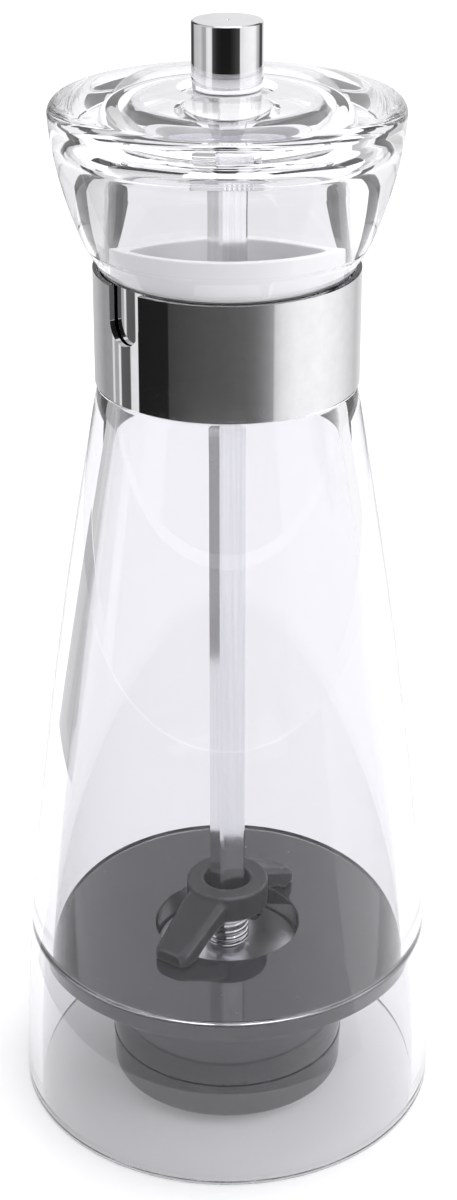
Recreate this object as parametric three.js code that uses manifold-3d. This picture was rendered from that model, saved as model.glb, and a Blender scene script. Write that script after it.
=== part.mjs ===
// A refillable pepper mill with a clear body, a clear turning head and an adjustable burr grinder.
// Units are millimetres. The origin is the centre of the foot of the body, and +Z is up.
import * as THREE from "three";
import { mergeVertices } from "three/addons/utils/BufferGeometryUtils.js";
import Module from "manifold-3d";

const wasm = await Module();
wasm.setup();

// ---- Fits ----
const GAP = 0.3; // between faces that rest on each other
const SLIP = 0.3; // all round a bar or a bolt in its hole
const SEGMENTS = 48; // round the large pieces
const FINE_SEGMENTS = 24; // round the small pieces
const ARC_STEPS = 4; // along a rounded edge

// ---- Body ----
const BASE_RADIUS = 34.5;
const SHOULDER_HEIGHT = 125.4;
const SHOULDER_SET_BACK = 0.4; // how far the shoulder stands inside the collar
const FLARE_POWER = 1.54; // how late the flank runs out to the base
const STORE_WALL = 3.8;
const SKIRT_WALL = 2.4; // below the ledge
const LEDGE_HEIGHT = 28.9;
const FOOT_ROUND = 0.9;
const NECK_WALL = 2.2;
const FLANK_STEPS = 11;

// ---- Collar ----
const COLLAR_RADIUS = 20.15;
const COLLAR_HEIGHT = 18.1;
const SLEEVE_WALL = 0.8;
const NECK_SET_DOWN = 0.9; // top of the neck below the top of the collar
const NOTCH_WIDTH = 6.6;
const NOTCH_DEPTH = 8.4;
const NOTCH_TURN = -139; // degrees, where the outer notch stands; the filling window is at 0
const WINDOW_LINTEL = 1.6; // neck left over the filling window

// ---- Head ----
const RIM_OUT = 6.1; // how far the rim stands past the collar
const HEAD_HEIGHT = 26.2;
const FOOT_INSET = 0.7; // foot of the head inside the collar
const BAND_HEIGHT = 3.2; // plain band above the foot
const BAND_OUT = 1.15; // how far the band widens past the collar
const RIM_DROP = 3.5; // widest line of the rim below the crown
const RIM_ROUND = 1.9;
const FOOT_WALL = 1.65; // of the head at its mouth
const CAVITY_DRAFT = 0.4; // wider at the mouth
const CAVITY_DEPTH = 19.5;
const CAVITY_ROUND = 5.2;
const RECESS_DEPTH = 1.2;
const RECESS_MARGIN = 1.1;

// ---- Knob and drive ----
const KNOB_RADIUS = 5.25;
const KNOB_HEIGHT = 9.8;
const KNOB_CHAMFER = 0.35;
const THREAD_RADIUS = 1.95;
const THREAD_REACH = 6.1; // into the knob
const KNOB_BORE_DEPTH = 8.2;
const KNOB_WASHER_THICKNESS = 0.6;
const SHAFT_SIDE = 4.55;
const SHAFT_TURN = 26.7; // degrees
const SHAFT_TOP_CLEARANCE = 2.0; // square below the knob washer
const INSERT_MARGIN = 1.7; // metal round the square hole's corners
const INSERT_THICKNESS = 2.3;
const SPINDLE_RADIUS = 2.15; // turned part under the square
const TANG_SIDE = 3.0;

// ---- Guide ring ----
const GUIDE_WALL = 1.55;
const GUIDE_FLANGE = 1.2;
const GUIDE_SPIGOT = 6.2;
const GUIDE_SKIRT = 1.2;

// ---- Grinder housing ----
const FLANGE_THICKNESS = 3.0;
const WELL_RADIUS = 12.0;
const WELL_SHELF = 3.9; // from the well's wall out to the chamber's
const BARREL_WALL = 4.3;
const BARREL_FOOT_WALL = 2.9;
const WEB_THICKNESS = 6.7; // from the disc down to the chamber
const SPIGOT_WALL = 1.8;
const SPIGOT_LENGTH = 4.0;
const GRINDER_CLEARANCE = 2.4; // lock ring above the table
const LOCK_RING_HEIGHT = 6.2;
const LOCK_RING_WALL = 1.5;
const LOCK_LIP = 1.9;
const LOCK_MOUTH_MARGIN = 0.6; // round the fixed burr's bore

// ---- Feed plate, spring and bridge ----
const WELL_DEPTH = 4.2;
const PLATE_THICKNESS = 1.1;
const PLATE_SLOT_WIDTH = 4.6;
const PLATE_SLOT_IN = 6.9;
const PLATE_SLOT_TURN = 66; // degrees
const SPRING_CLEARANCE = 0.5; // round the spindle
const WIRE_RADIUS = 0.5;
const SPRING_TURNS = 5;
const SPRING_STEPS = 12; // per turn
const HUB_WALL = 2.9;
const HUB_BORE_MARGIN = 0.68; // round the shaft's corners
const HUB_HEIGHT = 4.7;
const HUB_CLEARANCE = 3.4; // under the hub, above the disc
const SPRING_WASHER_MARGIN = 1.6; // past the hub's bore
const SPRING_WASHER_THICKNESS = 0.5;
const ARM_FOOTING = 4.4; // on the disc, past the well
const ARM_TURN = 55; // degrees
const ARM_TIP_WIDTH = 6.0;
const ARM_ROOT_WIDTH = 7.6;
const ARM_TIP_HEIGHT = 2.1;
const ARM_SET_DOWN = 0.8; // top of the arm's root below the hub's top
const SCREW_SET_OUT = 2.3; // from the well's wall
const SCREW_SHANK = 0.75;
const SCREW_HEAD = 1.7;
const SCREW_HEAD_HEIGHT = 1.4;
const SCREW_BITE = 1.2; // into the arm

// ---- Burrs ----
const STATOR_HEIGHT = 16.8;
const STATOR_WALL = 3.4;
const STATOR_TAPER = 0.2; // narrower at the foot
const STATOR_TEETH = 16;
const STATOR_TOOTH = 0.7;
const ROTOR_HEIGHT = 17.2;
const ROTOR_TOP_RADIUS = 6.6;
const ROTOR_WAIST = 0.35; // of the height, where the fine teeth start
const GRINDING_GAP = 0.5; // between the burrs at the foot
const ROTOR_TEETH = 12;
const ROTOR_TOOTH = 0.9;
const ROTOR_TWIST = 50; // degrees over the height
const TOOTH_STEPS = 4;
const ROTOR_WASHER_RADIUS = 5.0;
const ROTOR_WASHER_THICKNESS = 0.6;
const ROTOR_SCREW_HEAD = 3.2;
const ROTOR_SCREW_HEAD_HEIGHT = 1.4;
const ROTOR_SCREW_RADIUS = 1.0;
const ROTOR_SCREW_LENGTH = 8;

// ---- Heights and radii that follow ----
const COLLAR_FOOT = SHOULDER_HEIGHT + GAP;
const COLLAR_TOP = SHOULDER_HEIGHT + COLLAR_HEIGHT;
const SHOULDER_RADIUS = COLLAR_RADIUS - SHOULDER_SET_BACK;
const RIM_RADIUS = COLLAR_RADIUS + RIM_OUT;
const HEAD_FOOT_RADIUS = COLLAR_RADIUS - FOOT_INSET;
const MOUTH_RADIUS = HEAD_FOOT_RADIUS - FOOT_WALL;
const CAVITY_RADIUS = MOUTH_RADIUS - CAVITY_DRAFT;
const OUTER_SLEEVE_BORE = COLLAR_RADIUS - SLEEVE_WALL;
const INNER_SLEEVE_RADIUS = OUTER_SLEEVE_BORE - GAP;
const NECK_RADIUS = INNER_SLEEVE_RADIUS - SLEEVE_WALL - GAP;
const NECK_BORE = NECK_RADIUS - NECK_WALL;
const GUIDE_BORE = NECK_BORE - GAP - GUIDE_WALL;
const NECK_TOP = COLLAR_TOP - NECK_SET_DOWN;
const NOTCH_FOOT = COLLAR_TOP - NOTCH_DEPTH;
const HEAD_FOOT = COLLAR_TOP + 2 * GAP;
const CROWN = HEAD_FOOT + HEAD_HEIGHT;
const CEILING = HEAD_FOOT + CAVITY_DEPTH;
const RECESS_RADIUS = KNOB_RADIUS + RECESS_MARGIN;
const RECESS_FLOOR = CROWN - RECESS_DEPTH;
const KNOB_WASHER_FOOT = RECESS_FLOOR + GAP / 2;
const KNOB_FOOT = KNOB_WASHER_FOOT + KNOB_WASHER_THICKNESS + GAP;
const SQUARE_TOP = KNOB_WASHER_FOOT - SHAFT_TOP_CLEARANCE;
const SQUARE_HOLE = SHAFT_SIDE + 2 * SLIP;
const DISC_TOP = LEDGE_HEIGHT - GAP;
const CHAMBER_TOP = DISC_TOP - WEB_THICKNESS;
const HUB_BORE = SHAFT_SIDE / Math.SQRT2 + HUB_BORE_MARGIN;
const HUB_RADIUS = HUB_BORE + HUB_WALL;
const ARM_REACH = WELL_RADIUS + ARM_FOOTING;
const SCREW_PITCH_RADIUS = WELL_RADIUS + SCREW_SET_OUT;
const BRIDGE_FOOT = DISC_TOP + GAP;
const HUB_FOOT = DISC_TOP + HUB_CLEARANCE + GAP;
const HUB_TOP = HUB_FOOT + HUB_HEIGHT;
const SPRING_RADIUS = SPINDLE_RADIUS + SPRING_CLEARANCE + WIRE_RADIUS; // to the middle of the wire
const SPRING_WASHER_RADIUS = HUB_BORE + SPRING_WASHER_MARGIN;
const SPRING_WASHER_TOP = HUB_FOOT - GAP;
const SPRING_TOP = SPRING_WASHER_TOP - SPRING_WASHER_THICKNESS - GAP;
const PLATE_TOP = DISC_TOP - WELL_DEPTH;
const PLATE_FOOT = PLATE_TOP - PLATE_THICKNESS;
const SQUARE_FOOT = HUB_FOOT + GAP;
const LOCK_RING_TOP = GRINDER_CLEARANCE + LOCK_RING_HEIGHT;
const BARREL_FOOT = LOCK_RING_TOP + GAP;
const CHAMBER_RADIUS = WELL_RADIUS + WELL_SHELF;
const BARREL_RADIUS = CHAMBER_RADIUS + BARREL_WALL;
const BARREL_FOOT_RADIUS = CHAMBER_RADIUS + BARREL_FOOT_WALL;
const SPIGOT_RADIUS = CHAMBER_RADIUS + SPIGOT_WALL;
const LOCK_RING_RADIUS = SPIGOT_RADIUS + GAP + LOCK_RING_WALL;
const STATOR_TOP = CHAMBER_TOP - GAP;
const STATOR_RADIUS = CHAMBER_RADIUS - GAP;
const STATOR_BORE_TOP = STATOR_RADIUS - STATOR_WALL;
const STATOR_BORE_FOOT = STATOR_BORE_TOP - STATOR_TAPER;
const LOCK_MOUTH = STATOR_BORE_FOOT + LOCK_MOUTH_MARGIN;
const ROTOR_FOOT_RADIUS = STATOR_BORE_FOOT - STATOR_TOOTH - GRINDING_GAP;
const ROTOR_TOP = PLATE_FOOT - GAP;
const ROTOR_FOOT = ROTOR_TOP - ROTOR_HEIGHT;
const ROTOR_WASHER_TOP = ROTOR_FOOT - GAP;
const ROTOR_SCREW_TOP = ROTOR_WASHER_TOP - ROTOR_WASHER_THICKNESS - GAP;

const RAD = Math.PI / 180;

/** Radius of the body's flank at a height. */
function flank(z) {
  const share = Math.min(z / SHOULDER_HEIGHT, 1);
  return SHOULDER_RADIUS + (BASE_RADIUS - SHOULDER_RADIUS) * (1 - share ** FLARE_POWER);
}

/** Evenly spaced points of a curve given by a function of height. */
function heights(from, to, steps, radius) {
  return Array.from({ length: steps + 1 }, (_, i) => {
    const z = from + ((to - from) * i) / steps;
    return [radius(z), z];
  });
}

/** Points of a round edge between two angles, in degrees from the outward direction. */
function roundEdge(r, z, radius, from, to) {
  return Array.from({ length: ARC_STEPS + 1 }, (_, i) => {
    const angle = (from + ((to - from) * i) / ARC_STEPS) * RAD;
    return [r + radius * Math.cos(angle), z + radius * Math.sin(angle)];
  });
}

/** A turned shape about Z, from [radius, height] points that run anticlockwise in the half plane. */
function turned(profile, segments = SEGMENTS) {
  const points = profile.map(([r, z]) => new THREE.Vector2(r, z));
  return new THREE.LatheGeometry(points, segments).rotateX(Math.PI / 2);
}

/** A turned ring: its profile closes on itself. */
function ring(profile, segments) {
  return turned([...profile, profile[0]], segments);
}

/** A plain tube. */
function tube(inner, outer, foot, top, segments) {
  return ring([[inner, foot], [outer, foot], [outer, top], [inner, top]], segments);
}

/** A plain round bar. */
function rod(radius, foot, top, segments = FINE_SEGMENTS) {
  return turned([[0, foot], [radius, foot], [radius, top], [0, top]], segments);
}

/** A square bar about Z, turned by the shaft's angle. */
function squareBar(side, foot, top) {
  const bar = new THREE.BoxGeometry(side, side, top - foot);
  return bar.translate(0, 0, (foot + top) / 2).rotateZ(SHAFT_TURN * RAD);
}

/** A bar with a round lower end that passes through a wall along +X, turned to an angle. */
function roundEndedCutter(width, foot, top, inner, outer, turn) {
  const half = width / 2;
  const outline = new THREE.Shape();
  outline.moveTo(half, top);
  outline.lineTo(-half, top);
  outline.lineTo(-half, foot + half);
  outline.absarc(0, foot + half, half, Math.PI, 2 * Math.PI, false);
  const settings = { depth: outer - inner, bevelEnabled: false, curveSegments: 10 };
  const cutter = new THREE.ExtrudeGeometry(outline, settings);
  return cutter.rotateX(Math.PI / 2).rotateZ(Math.PI / 2).translate(inner, 0, 0).rotateZ(turn * RAD);
}

/** Boolean solid of a closed geometry. */
function solid(geometry) {
  const bare = geometry.clone();
  bare.deleteAttribute("normal");
  bare.deleteAttribute("uv");
  const merged = mergeVertices(bare, 1e-4);
  return new wasm.Manifold(
    new wasm.Mesh({
      numProp: 3,
      vertProperties: new Float32Array(merged.attributes.position.array),
      triVerts: new Uint32Array(merged.index.array),
    }),
  );
}

/** Geometry of a boolean solid. */
function geometryOf(manifold) {
  const mesh = manifold.getMesh();
  const geometry = new THREE.BufferGeometry();
  geometry.setAttribute("position", new THREE.BufferAttribute(mesh.vertProperties, 3));
  geometry.setIndex(new THREE.BufferAttribute(mesh.triVerts, 1));
  geometry.computeVertexNormals();
  return geometry;
}

/** A geometry with others cut out of it. */
function cut(base, ...cutters) {
  return geometryOf(cutters.reduce((left, cutter) => left.subtract(solid(cutter)), solid(base)));
}

/** Geometries joined into one. */
function joined(...pieces) {
  return geometryOf(pieces.map(solid).reduce((whole, piece) => whole.add(piece)));
}

// ---- Materials ----
function finish(color, roughness, metalness, opacity = 1) {
  return new THREE.MeshStandardMaterial({
    color,
    roughness,
    metalness,
    opacity,
    transparent: opacity < 1,
  });
}

const clearAcrylic = () => finish(0xe9e7f0, 0.04, 0, 0.3);
const chrome = () => finish(0xd9d9dd, 0.06, 1);
const brightAluminium = () => finish(0xcfcfd4, 0.22, 1);
const steel = () => finish(0xb9babd, 0.28, 1);
const darkPlastic = () => finish(0x4a494f, 0.18, 0);
const greyPlastic = () => finish(0x504f55, 0.5, 0);
const hardBurr = () => finish(0x8a8a8e, 0.4, 1);
const whiteNylon = () => finish(0xececee, 0.4, 0);

const mill = new THREE.Group();

/** Adds a named piece to a group. */
function piece(group, name, geometry, material) {
  const mesh = new THREE.Mesh(geometry, material);
  mesh.name = name;
  group.add(mesh);
}

// ---- Pieces ----
function bodyGeometry() {
  const outer = [
    ...roundEdge(flank(FOOT_ROUND) - FOOT_ROUND, FOOT_ROUND, FOOT_ROUND, -90, 0),
    ...heights(FOOT_ROUND, SHOULDER_HEIGHT, FLANK_STEPS, flank).slice(1),
  ];
  const neck = [
    [NECK_RADIUS, SHOULDER_HEIGHT],
    [NECK_RADIUS, NECK_TOP],
    [NECK_BORE, NECK_TOP],
    [NECK_BORE, SHOULDER_HEIGHT],
  ];
  const bore = heights(
    SHOULDER_HEIGHT - STORE_WALL,
    LEDGE_HEIGHT,
    FLANK_STEPS,
    (z) => flank(z) - STORE_WALL,
  );
  const skirt = heights(LEDGE_HEIGHT, 0, 3, (z) => flank(z) - SKIRT_WALL);
  const shell = ring([...outer, ...neck, ...bore, ...skirt]);
  return cut(shell, windowCutter());
}

/** The filling window through the neck, closed at the top by its lintel. */
function windowCutter() {
  const past = 1;
  const top = NECK_TOP - WINDOW_LINTEL;
  return roundEndedCutter(NOTCH_WIDTH, NOTCH_FOOT, top, NECK_BORE - past, NECK_RADIUS + past, 0);
}

/** A chrome sleeve with a round-ended notch from its top edge. */
function sleeveGeometry(inner, outer, foot, turn) {
  const past = 1;
  return cut(
    tube(inner, outer, foot, COLLAR_TOP),
    roundEndedCutter(NOTCH_WIDTH, NOTCH_FOOT, COLLAR_TOP + past, inner - past, outer + past, turn),
  );
}

function guideRingGeometry() {
  const flangeRadius = CAVITY_RADIUS - SLIP / 2;
  const spigotRadius = CAVITY_RADIUS - 2 * SLIP;
  const flangeFoot = NECK_TOP + GAP;
  const flangeTop = flangeFoot + GUIDE_FLANGE;
  return ring([
    [GUIDE_BORE, flangeFoot - GUIDE_SKIRT],
    [NECK_BORE - GAP, flangeFoot - GUIDE_SKIRT],
    [NECK_BORE - GAP, flangeFoot],
    [flangeRadius, flangeFoot],
    [flangeRadius, flangeTop],
    [spigotRadius, flangeTop],
    [spigotRadius, flangeTop + GUIDE_SPIGOT],
    [GUIDE_BORE, flangeTop + GUIDE_SPIGOT],
  ]);
}

function headGeometry() {
  const rimHeight = CROWN - RIM_DROP;
  const band = [COLLAR_RADIUS + BAND_OUT, HEAD_FOOT + BAND_HEIGHT];
  const side = new THREE.QuadraticBezierCurve(
    new THREE.Vector2(...band),
    new THREE.Vector2(RIM_RADIUS - 0.5, (band[1] + rimHeight) / 2 + 1),
    new THREE.Vector2(RIM_RADIUS, rimHeight),
  );
  const dome = new THREE.QuadraticBezierCurve(
    new THREE.Vector2(RIM_RADIUS - RIM_ROUND, rimHeight + RIM_ROUND),
    new THREE.Vector2((RIM_RADIUS + RECESS_RADIUS) / 2, CROWN),
    new THREE.Vector2(RECESS_RADIUS + 1, CROWN),
  );
  const shell = turned([
    [0, CEILING],
    ...roundEdge(
      CAVITY_RADIUS - CAVITY_ROUND,
      CEILING - CAVITY_ROUND,
      CAVITY_ROUND,
      90,
      0,
    ),
    [MOUTH_RADIUS, HEAD_FOOT],
    [HEAD_FOOT_RADIUS, HEAD_FOOT],
    ...side.getPoints(8).map((p) => [p.x, p.y]),
    ...roundEdge(RIM_RADIUS - RIM_ROUND, rimHeight, RIM_ROUND, 0, 90).slice(1),
    ...dome.getPoints(4).slice(1).map((p) => [p.x, p.y]),
    [RECESS_RADIUS, RECESS_FLOOR],
    [0, RECESS_FLOOR],
  ]);
  return cut(shell, squareBar(SQUARE_HOLE, CEILING - 1, RECESS_FLOOR + 1));
}

function insertGeometry() {
  const top = CEILING - GAP;
  const radius = SQUARE_HOLE / Math.SQRT2 + INSERT_MARGIN;
  return cut(
    rod(radius, top - INSERT_THICKNESS, top),
    squareBar(SQUARE_HOLE, top - INSERT_THICKNESS - 1, top + 1),
  );
}

function knobGeometry() {
  const bore = THREAD_RADIUS + SLIP;
  const top = KNOB_FOOT + KNOB_HEIGHT;
  return turned(
    [
      [0, KNOB_FOOT + KNOB_BORE_DEPTH],
      [bore, KNOB_FOOT + KNOB_BORE_DEPTH],
      [bore, KNOB_FOOT],
      [KNOB_RADIUS, KNOB_FOOT],
      [KNOB_RADIUS, top - KNOB_CHAMFER],
      [KNOB_RADIUS - KNOB_CHAMFER, top],
      [0, top],
    ],
    32,
  );
}

function knobWasherGeometry() {
  const bore = THREAD_RADIUS + 2 * SLIP;
  const outer = KNOB_RADIUS - GAP;
  return tube(bore, outer, KNOB_WASHER_FOOT, KNOB_WASHER_FOOT + KNOB_WASHER_THICKNESS, FINE_SEGMENTS);
}

function shaftGeometry() {
  const overlap = 0.5; // joined sections run into each other
  const tangFoot = ROTOR_SCREW_TOP + GAP;
  const bar = joined(
    rod(THREAD_RADIUS, SQUARE_TOP - overlap, KNOB_FOOT + THREAD_REACH),
    squareBar(SHAFT_SIDE, SQUARE_FOOT, SQUARE_TOP),
    rod(SPINDLE_RADIUS, PLATE_FOOT, SQUARE_FOOT + overlap),
    squareBar(TANG_SIDE, tangFoot, PLATE_FOOT + overlap),
  );
  const tappedEnd = ROTOR_SCREW_TOP + ROTOR_SCREW_LENGTH + 1;
  return cut(bar, rod(ROTOR_SCREW_RADIUS + SLIP / 2, tangFoot - 1, tappedEnd, 12));
}

/** The hub and its two arms, which taper in plan and slope down to the disc. */
function bridgeGeometry() {
  const rootTop = HUB_TOP - ARM_SET_DOWN;
  const tipTop = BRIDGE_FOOT + ARM_TIP_HEIGHT;
  const archFoot = WELL_RADIUS + GAP;
  const side = new THREE.Shape();
  side.moveTo(-ARM_REACH, BRIDGE_FOOT);
  side.lineTo(-archFoot, BRIDGE_FOOT);
  side.quadraticCurveTo(-HUB_RADIUS - 2, HUB_FOOT, -HUB_RADIUS, HUB_FOOT);
  side.lineTo(HUB_RADIUS, HUB_FOOT);
  side.quadraticCurveTo(HUB_RADIUS + 2, HUB_FOOT, archFoot, BRIDGE_FOOT);
  side.lineTo(ARM_REACH, BRIDGE_FOOT);
  side.lineTo(ARM_REACH, tipTop);
  side.lineTo(HUB_RADIUS, rootTop);
  side.lineTo(-HUB_RADIUS, rootTop);
  side.lineTo(-ARM_REACH, tipTop);
  const settings = { depth: ARM_ROOT_WIDTH, bevelEnabled: false, curveSegments: 5 };
  const slab = new THREE.ExtrudeGeometry(side, settings);
  slab.translate(0, 0, -ARM_ROOT_WIDTH / 2).rotateX(Math.PI / 2);
  const plan = new THREE.Shape();
  plan.moveTo(ARM_REACH, -ARM_TIP_WIDTH / 2);
  plan.lineTo(ARM_REACH, ARM_TIP_WIDTH / 2);
  plan.lineTo(HUB_RADIUS / 2, ARM_ROOT_WIDTH / 2);
  plan.lineTo(-HUB_RADIUS / 2, ARM_ROOT_WIDTH / 2);
  plan.lineTo(-ARM_REACH, ARM_TIP_WIDTH / 2);
  plan.lineTo(-ARM_REACH, -ARM_TIP_WIDTH / 2);
  plan.lineTo(-HUB_RADIUS / 2, -ARM_ROOT_WIDTH / 2);
  plan.lineTo(HUB_RADIUS / 2, -ARM_ROOT_WIDTH / 2);
  const prism = new THREE.ExtrudeGeometry(plan, { depth: HUB_TOP, bevelEnabled: false });
  const arms = solid(slab).intersect(solid(prism));
  const whole = arms.add(solid(rod(HUB_RADIUS, HUB_FOOT, HUB_TOP, 36)));
  const screwTop = BRIDGE_FOOT + SCREW_BITE + GAP / 2;
  const screwHole = () => rod(SCREW_SHANK + SLIP, BRIDGE_FOOT - 1, screwTop, 12);
  return cut(
    geometryOf(whole),
    rod(HUB_BORE, HUB_FOOT - 1, HUB_TOP + 1),
    screwHole().translate(SCREW_PITCH_RADIUS, 0, 0),
    screwHole().translate(-SCREW_PITCH_RADIUS, 0, 0),
  );
}

/** A pan-headed screw that points up. */
function bridgeScrewGeometry() {
  const headFoot = CHAMBER_TOP + GAP;
  const headTop = headFoot + SCREW_HEAD_HEIGHT;
  return turned(
    [
      [0, headFoot],
      [SCREW_HEAD, headFoot],
      [SCREW_HEAD, headTop],
      [SCREW_SHANK, headTop],
      [SCREW_SHANK, BRIDGE_FOOT + SCREW_BITE],
      [0, BRIDGE_FOOT + SCREW_BITE],
    ],
    12,
  );
}

function springGeometry() {
  const foot = PLATE_TOP + GAP + WIRE_RADIUS;
  const rise = SPRING_TOP - WIRE_RADIUS - foot;
  const points = Array.from({ length: SPRING_TURNS * SPRING_STEPS + 1 }, (_, i) => {
    const angle = (2 * Math.PI * i) / SPRING_STEPS;
    const height = foot + (rise * i) / (SPRING_TURNS * SPRING_STEPS);
    return new THREE.Vector3(SPRING_RADIUS * Math.cos(angle), SPRING_RADIUS * Math.sin(angle), height);
  });
  const wire = new THREE.Shape().absarc(0, 0, WIRE_RADIUS, 0, 2 * Math.PI, false);
  return new THREE.ExtrudeGeometry(wire, {
    steps: SPRING_TURNS * SPRING_STEPS,
    curveSegments: 3,
    bevelEnabled: false,
    extrudePath: new THREE.CatmullRomCurve3(points),
  });
}

/** The polished floor of the well, with two feed slots. */
function feedPlateGeometry() {
  const slotDepth = WELL_RADIUS - GAP - PLATE_SLOT_IN - 0.8;
  const slot = (turn) =>
    new THREE.BoxGeometry(slotDepth, PLATE_SLOT_WIDTH, 4 * PLATE_THICKNESS)
      .translate(PLATE_SLOT_IN + slotDepth / 2, 0, PLATE_TOP)
      .rotateZ(turn * RAD);
  return cut(
    tube(SPINDLE_RADIUS + SLIP, WELL_RADIUS - GAP, PLATE_FOOT, PLATE_TOP, 36),
    slot(PLATE_SLOT_TURN),
    slot(PLATE_SLOT_TURN + 180),
  );
}

function housingGeometry() {
  const flangeRadius = flank(LEDGE_HEIGHT) - SKIRT_WALL - GAP;
  const flangeFoot = DISC_TOP - FLANGE_THICKNESS;
  const barrel = new THREE.QuadraticBezierCurve(
    new THREE.Vector2(BARREL_RADIUS, flangeFoot),
    new THREE.Vector2(BARREL_RADIUS, (flangeFoot + BARREL_FOOT) / 2),
    new THREE.Vector2(BARREL_FOOT_RADIUS, BARREL_FOOT),
  );
  const shell = ring([
    [WELL_RADIUS, CHAMBER_TOP],
    [CHAMBER_RADIUS, CHAMBER_TOP],
    [CHAMBER_RADIUS, BARREL_FOOT - SPIGOT_LENGTH],
    [SPIGOT_RADIUS, BARREL_FOOT - SPIGOT_LENGTH],
    [SPIGOT_RADIUS, BARREL_FOOT],
    ...barrel.getPoints(4).reverse().map((p) => [p.x, p.y]),
    [flangeRadius, flangeFoot],
    [flangeRadius, DISC_TOP],
    [WELL_RADIUS, DISC_TOP],
  ]);
  const screwWay = (turn) =>
    joined(
      rod(SCREW_HEAD + SLIP, CHAMBER_TOP - 1, CHAMBER_TOP + SCREW_HEAD_HEIGHT + 2 * GAP, 12),
      rod(SCREW_SHANK + SLIP, CHAMBER_TOP, DISC_TOP + 1, 12),
    )
      .translate(SCREW_PITCH_RADIUS, 0, 0)
      .rotateZ(turn * RAD);
  return cut(shell, screwWay(ARM_TURN), screwWay(ARM_TURN + 180));
}

function lockRingGeometry() {
  return ring([
    [LOCK_MOUTH, GRINDER_CLEARANCE],
    [LOCK_RING_RADIUS, GRINDER_CLEARANCE],
    [LOCK_RING_RADIUS, LOCK_RING_TOP],
    [SPIGOT_RADIUS + GAP, LOCK_RING_TOP],
    [SPIGOT_RADIUS + GAP, GRINDER_CLEARANCE + LOCK_LIP],
    [LOCK_MOUTH, GRINDER_CLEARANCE + LOCK_LIP],
  ]);
}

/** Pushes the points of a turned shape in or out by a tooth form that twists with height. */
function toothed(geometry, teeth, twist, depthAt) {
  const position = geometry.attributes.position;
  const point = new THREE.Vector3();
  for (let i = 0; i < position.count; i++) {
    point.fromBufferAttribute(position, i);
    const radius = Math.hypot(point.x, point.y);
    const depth = depthAt(radius, point.z);
    const step = Math.round((Math.atan2(point.y, point.x) / (2 * Math.PI)) * teeth * TOOTH_STEPS);
    const inTooth = ((step % TOOTH_STEPS) + TOOTH_STEPS) % TOOTH_STEPS;
    const scale = inTooth > 1 && radius > 0 ? (radius + depth) / radius : 1;
    const turn = twist(point.z) * RAD;
    const x = point.x * scale;
    const y = point.y * scale;
    position.setXY(i, x * Math.cos(turn) - y * Math.sin(turn), x * Math.sin(turn) + y * Math.cos(turn));
  }
  return geometry;
}

function statorGeometry() {
  const foot = STATOR_TOP - STATOR_HEIGHT;
  const taper = (z) =>
    STATOR_BORE_FOOT + ((STATOR_BORE_TOP - STATOR_BORE_FOOT) * (z - foot)) / STATOR_HEIGHT;
  const bore = heights(STATOR_TOP, foot, 3, taper);
  const outside = [[STATOR_RADIUS, foot], [STATOR_RADIUS, STATOR_TOP]];
  const blank = ring([...bore, ...outside], STATOR_TEETH * TOOTH_STEPS);
  const depth = (radius) => (radius < STATOR_RADIUS - 1 ? -STATOR_TOOTH : 0);
  return toothed(blank, STATOR_TEETH, () => 0, depth);
}

function rotorGeometry() {
  const square = TANG_SIDE + 2 * SLIP;
  const waist = ROTOR_FOOT + ROTOR_WAIST * ROTOR_HEIGHT;
  const flare = (z) =>
    ROTOR_TOP_RADIUS + (ROTOR_FOOT_RADIUS - ROTOR_TOP_RADIUS) * ((ROTOR_TOP - z) / ROTOR_HEIGHT) ** 0.7;
  const blank = turned(
    [[0, ROTOR_FOOT], ...heights(ROTOR_FOOT, ROTOR_TOP, 8, flare), [0, ROTOR_TOP]],
    ROTOR_TEETH * TOOTH_STEPS,
  );
  const twist = (z) => (ROTOR_TWIST * (z - ROTOR_FOOT)) / ROTOR_HEIGHT;
  const depth = (radius, z) => (radius > 1 ? -ROTOR_TOOTH * (z > waist ? 1.5 : 1) : 0);
  return cut(
    toothed(blank, ROTOR_TEETH, twist, depth),
    squareBar(square, ROTOR_FOOT - 1, ROTOR_TOP + 1),
  );
}

function rotorWasherGeometry() {
  const bore = TANG_SIDE / Math.SQRT2 + SLIP;
  const foot = ROTOR_WASHER_TOP - ROTOR_WASHER_THICKNESS;
  return tube(bore, ROTOR_WASHER_RADIUS, foot, ROTOR_WASHER_TOP, FINE_SEGMENTS);
}

function rotorScrewGeometry() {
  const headFoot = ROTOR_SCREW_TOP - ROTOR_SCREW_HEAD_HEIGHT;
  const end = ROTOR_SCREW_TOP + ROTOR_SCREW_LENGTH;
  return turned(
    [
      [0, headFoot],
      [ROTOR_SCREW_HEAD, headFoot],
      [ROTOR_SCREW_HEAD, ROTOR_SCREW_TOP],
      [ROTOR_SCREW_RADIUS, ROTOR_SCREW_TOP],
      [ROTOR_SCREW_RADIUS, end],
      [0, end],
    ],
    12,
  );
}

// ---- Fixed pieces ----
const stand = new THREE.Group();
mill.add(stand);
piece(stand, "body", bodyGeometry(), clearAcrylic());
const innerBore = NECK_RADIUS + GAP;
const innerSleeve = sleeveGeometry(innerBore, INNER_SLEEVE_RADIUS, COLLAR_FOOT, 0);
piece(stand, "collar_inner_sleeve", innerSleeve, chrome());
piece(stand, "head_guide_ring", guideRingGeometry(), whiteNylon());
piece(stand, "grinder_housing", housingGeometry(), darkPlastic());
piece(stand, "lock_ring", lockRingGeometry(), darkPlastic());
piece(stand, "stator_burr", statorGeometry(), hardBurr());
const springWasherFoot = SPRING_WASHER_TOP - SPRING_WASHER_THICKNESS;
const springWasher = tube(
  SPINDLE_RADIUS + SLIP,
  SPRING_WASHER_RADIUS,
  springWasherFoot,
  SPRING_WASHER_TOP,
  FINE_SEGMENTS,
);
piece(stand, "spring_washer", springWasher, steel());
piece(stand, "spring", springGeometry(), steel());

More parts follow.
